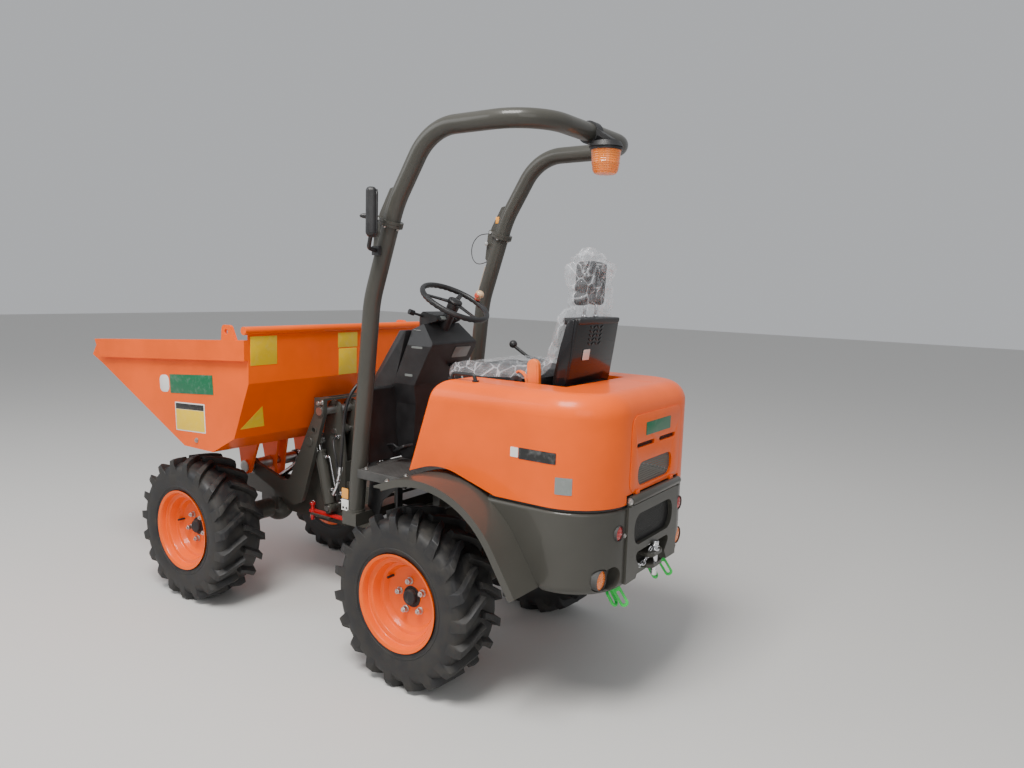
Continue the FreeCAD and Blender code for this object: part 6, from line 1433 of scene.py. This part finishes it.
def dress_beacon():
    """Fluted amber lens under its cap, closed by a turned ring."""
    rows = [(0.0, 0.0), (0.0, 0.0625), (0.010, 0.0645), (0.016, 0.0620), (0.060, 0.0575), (0.064, 0.0590), (0.068, 0.0570),
            (0.095, 0.0530), (0.106, 0.0460), (0.1105, 0.0340), (0.1118, 0.0)]
    lens_form = spun(rows, 120)
    down = Matrix.Translation((-1.338, 0, 2.3077)) @ Matrix.Rotation(math.radians(-90), 4, "X")
    for vertex in lens_form.data.vertices:
        radius = math.hypot(vertex.co.x, vertex.co.z)
        if 0.018 < vertex.co.y < 0.1 and radius > 0.05:
            ripple = 1.0 + 0.010 * math.cos(30 * math.atan2(vertex.co.z, vertex.co.x))
            vertex.co.x *= ripple
            vertex.co.z *= ripple
    lens_form.data.update()
    glass = finished(copy_of(lens_form, down), "beacon_glass", "roll_hoop", "lamp_lens", 35.0)
    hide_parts("beacon_lens")
    ring = spun([(-0.004, 0.060), (-0.004, 0.0665), (0.006, 0.0680), (0.012, 0.0665), (0.012, 0.0645), (0.006, 0.060)], 60,
                closed=True)
    finished(copy_of(ring, down), "beacon_ring", "roll_hoop", "black_plastic", 35.0)
    bpy.data.objects.remove(lens_form)
    bpy.data.objects.remove(ring)


dress_roll_bar()
dress_mirror()
dress_beacon()


# Cowl in front of the console, liners inside the wings, links on the lashing eyes and the hoses
def dress_cowl():
    """The moulded cowl that runs down from the console's brow towards the steering joint."""
    outline = [(-0.395, 1.4965), (-0.330, 1.492), (-0.132, 1.206), (-0.128, 1.172), (-0.200, 1.150), (-0.300, 1.150)]
    cowl = drawn(outline, "Y", -0.174, 0.174)
    edit(cowl)
    pick(cowl, lambda middle, span: abs(middle.y) > 0.17 and middle.x > -0.33 and middle.z > 1.16, "edges")
    bpy.ops.mesh.bevel(offset=0.038, segments=5)
    out_of_edit()
    modify(cowl, "BEVEL", width=0.004, segments=2, limit_method="ANGLE", angle_limit=math.radians(40))
    finished(cowl, "console_cowl", "rear_body", "black_plastic", 40.0)
    for name, low, high, finish in (("console_tag_white", (-0.462, 0.095, 1.4990), (-0.418, 0.150, 1.5000), "sign_white"),
                                    ("console_tag_blue", (-0.456, 0.103, 1.4998), (-0.424, 0.142, 1.5006), "label_blue")):
        finished(block(low, high, corner=0.004, axis="Z", edge=0.0003), name, "rear_body", finish, 35.0)


def dress_liners():
    """Black liners between the wheels and the frame, under the steps."""
    outline = [(-0.700, 0.842), (-0.345, 0.824), (-0.330, 0.660), (-0.400, 0.610), (-0.425, 0.700), (-0.520, 0.780),
               (-0.640, 0.812)]
    liner = drawn(outline, "Y", 0.352, 0.357, edge=0.0012)
    rib = block((-0.520, 0.318, 0.655), (-0.505, 0.353, 0.826), corner=0.003, axis="Z", edge=0.001)
    finished(join(liner, rib, *[mirrored(obj) for obj in (liner, rib)]), "wing_liners", "rear_body", "black_plastic", 40.0)


def dress_links():
    """A flat green link with a long eye, hanging from each lashing point."""
    link = block((-0.018, -0.005, -0.098), (0.018, 0.005, 0.012), corner=0.0165, axis="Y", edge=0.0)
    cut_out(link, block((-0.008, -0.02, -0.086), (0.008, 0.02, -0.030), corner=0.0075, axis="Y", edge=0.0))
    modify(link, "BEVEL", width=0.0018, segments=2, limit_method="ANGLE", angle_limit=math.radians(40))
    links = []
    for sign in (1, -1):
        seat = Matrix.Translation((-1.580, sign * 0.2205, 0.540)) @ Matrix.Rotation(math.radians(38.0), 4, "Y")
        links.append(copy_of(link, seat @ Matrix.Rotation(math.radians(20.0), 4, "Z")))
    bpy.data.objects.remove(link)
    finished(join(*links), "lashing_links", "rear_body", "eye_green", 40.0)


# Routes in metres, mirrored for the other side: up from the left lift cylinder's elbow, over the joint and down again
OVER_JOINT = [(0.078, 0.150, 0.735), (0.062, 0.158, 0.800), (0.040, 0.168, 0.930), (0.026, 0.168, 1.060),
              (0.006, 0.145, 1.155), (-0.004, 0.070, 1.215)]
BY_TOWER = [(0.182, 0.0655, 0.885), (0.178, 0.100, 0.885), (0.150, 0.134, 0.850), (0.118, 0.140, 0.780),
            (0.108, 0.140, 0.660), (0.118, 0.132, 0.575), (0.148, 0.102, 0.535), (0.156, 0.0655, 0.530)]
POST_CABLE = [(-0.435, -0.418, 1.850), (-0.370, -0.428, 1.824), (-0.312, -0.436, 1.858), (-0.306, -0.436, 1.930),
              (-0.352, -0.430, 1.985), (-0.420, -0.420, 1.994), (-0.466, -0.418, 1.992)]


def dress_hoses():
    other = [(x, -y, z) for x, y, z in OVER_JOINT]
    hose("lift_hose", "front_body", OVER_JOINT + other[::-1], 0.0095)
    hose("tower_hose_left", "front_body", BY_TOWER, 0.007)
    hose("tower_hose_right", "front_body", [(x, -y, z) for x, y, z in BY_TOWER], 0.007)
    unions = []
    for sign in (1, -1):
        side = Vector((1, sign, 1))

        def at(x, y, z):
            return Vector((x, y, z)) * side
        unions.append(wire([at(0.152, 0.066, 0.575), at(0.152, 0.122, 0.575), at(0.138, 0.148, 0.590),
                            at(0.108, 0.150, 0.630), at(0.086, 0.150, 0.700), at(0.080, 0.150, 0.728)], 0.0085))
        unions.append(shaft(at(0.152, 0.066, 0.575), at(0.152, 0.082, 0.575), 0.014, 0.001, 6))
        unions.append(shaft(at(0.0975, 0.150, 0.660), at(0.0925, 0.150, 0.678), 0.0135, 0.001, 6))
        unions.append(shaft(at(0.0840, 0.150, 0.705), at(0.0745, 0.152, 0.750), 0.0122, 0.002, 24))
        for a, b in ((BY_TOWER[0], BY_TOWER[1]), (BY_TOWER[-1], BY_TOWER[-2])):
            way = (at(*b) - at(*a)).normalized()
            unions.append(shaft(at(*a), at(*a) + way * 0.010, 0.0125, 0.001, 6))
            unions.append(shaft(at(*a) + way * 0.009, at(*a) + way * 0.026, 0.0088, 0.0015, 24))
    finished(join(*unions), "hose_unions", "front_body", "rod_chrome", 40.0)
    hose("post_cable", "rear_body", POST_CABLE, 0.0022)


dress_cowl()
dress_liners()
dress_links()
dress_hoses()


# Stage, lights and camera
def stage():
    floor = start(bpy.ops.mesh.primitive_plane_add, size=60.0)
    floor.name = "studio_floor"
    ground = Finish("studio_floor", (0.62, 0.61, 0.59), 0.75)
    floor.data.materials.append(ground.material)
    settle(floor)
    world = bpy.data.worlds.new("studio")
    bpy.context.scene.world = world
    world.use_nodes = True
    world.node_tree.nodes["Background"].inputs["Color"].default_value = (0.90, 0.92, 0.95, 1.0)
    world.node_tree.nodes["Background"].inputs["Strength"].default_value = 0.55
    lamps = [
        # name, place, aimed at, width, watts, colour
        ("sky_panel", (-1.2, 3.2, 6.5), (-0.2, 0.0, 0.6), 2.6, 560.0, (1.0, 0.98, 0.95)),
        ("side_panel", (-6.0, 5.5, 4.0), (-0.4, 0.0, 0.8), 4.0, 90.0, (1.0, 0.99, 0.97)),
        ("back_panel", (5.0, 5.0, 5.0), (0.3, 0.0, 0.8), 4.0, 160.0, (0.96, 0.98, 1.0)),
    ]
    for name, place, aim, width, watts, colour in lamps:
        light = bpy.data.lights.new(name, "AREA")
        light.size = width
        light.energy = watts
        light.color = colour
        holder = bpy.data.objects.new(name, light)
        bpy.context.collection.objects.link(holder)
        holder.location = place
        holder.rotation_euler = (Vector(aim) - Vector(place)).to_track_quat("-Z", "Y").to_euler()
    lens_data = bpy.data.cameras.new("photo_camera")
    lens_data.lens = 27.49
    lens_data.sensor_width = 36.0
    camera = bpy.data.objects.new("photo_camera", lens_data)
    bpy.context.collection.objects.link(camera)
    camera.location = (-2.936, 2.975, 1.729)
    camera.rotation_euler = [math.radians(angle) for angle in (82.762, -1.783, -145.384)]
    bpy.context.scene.camera = camera


stage()
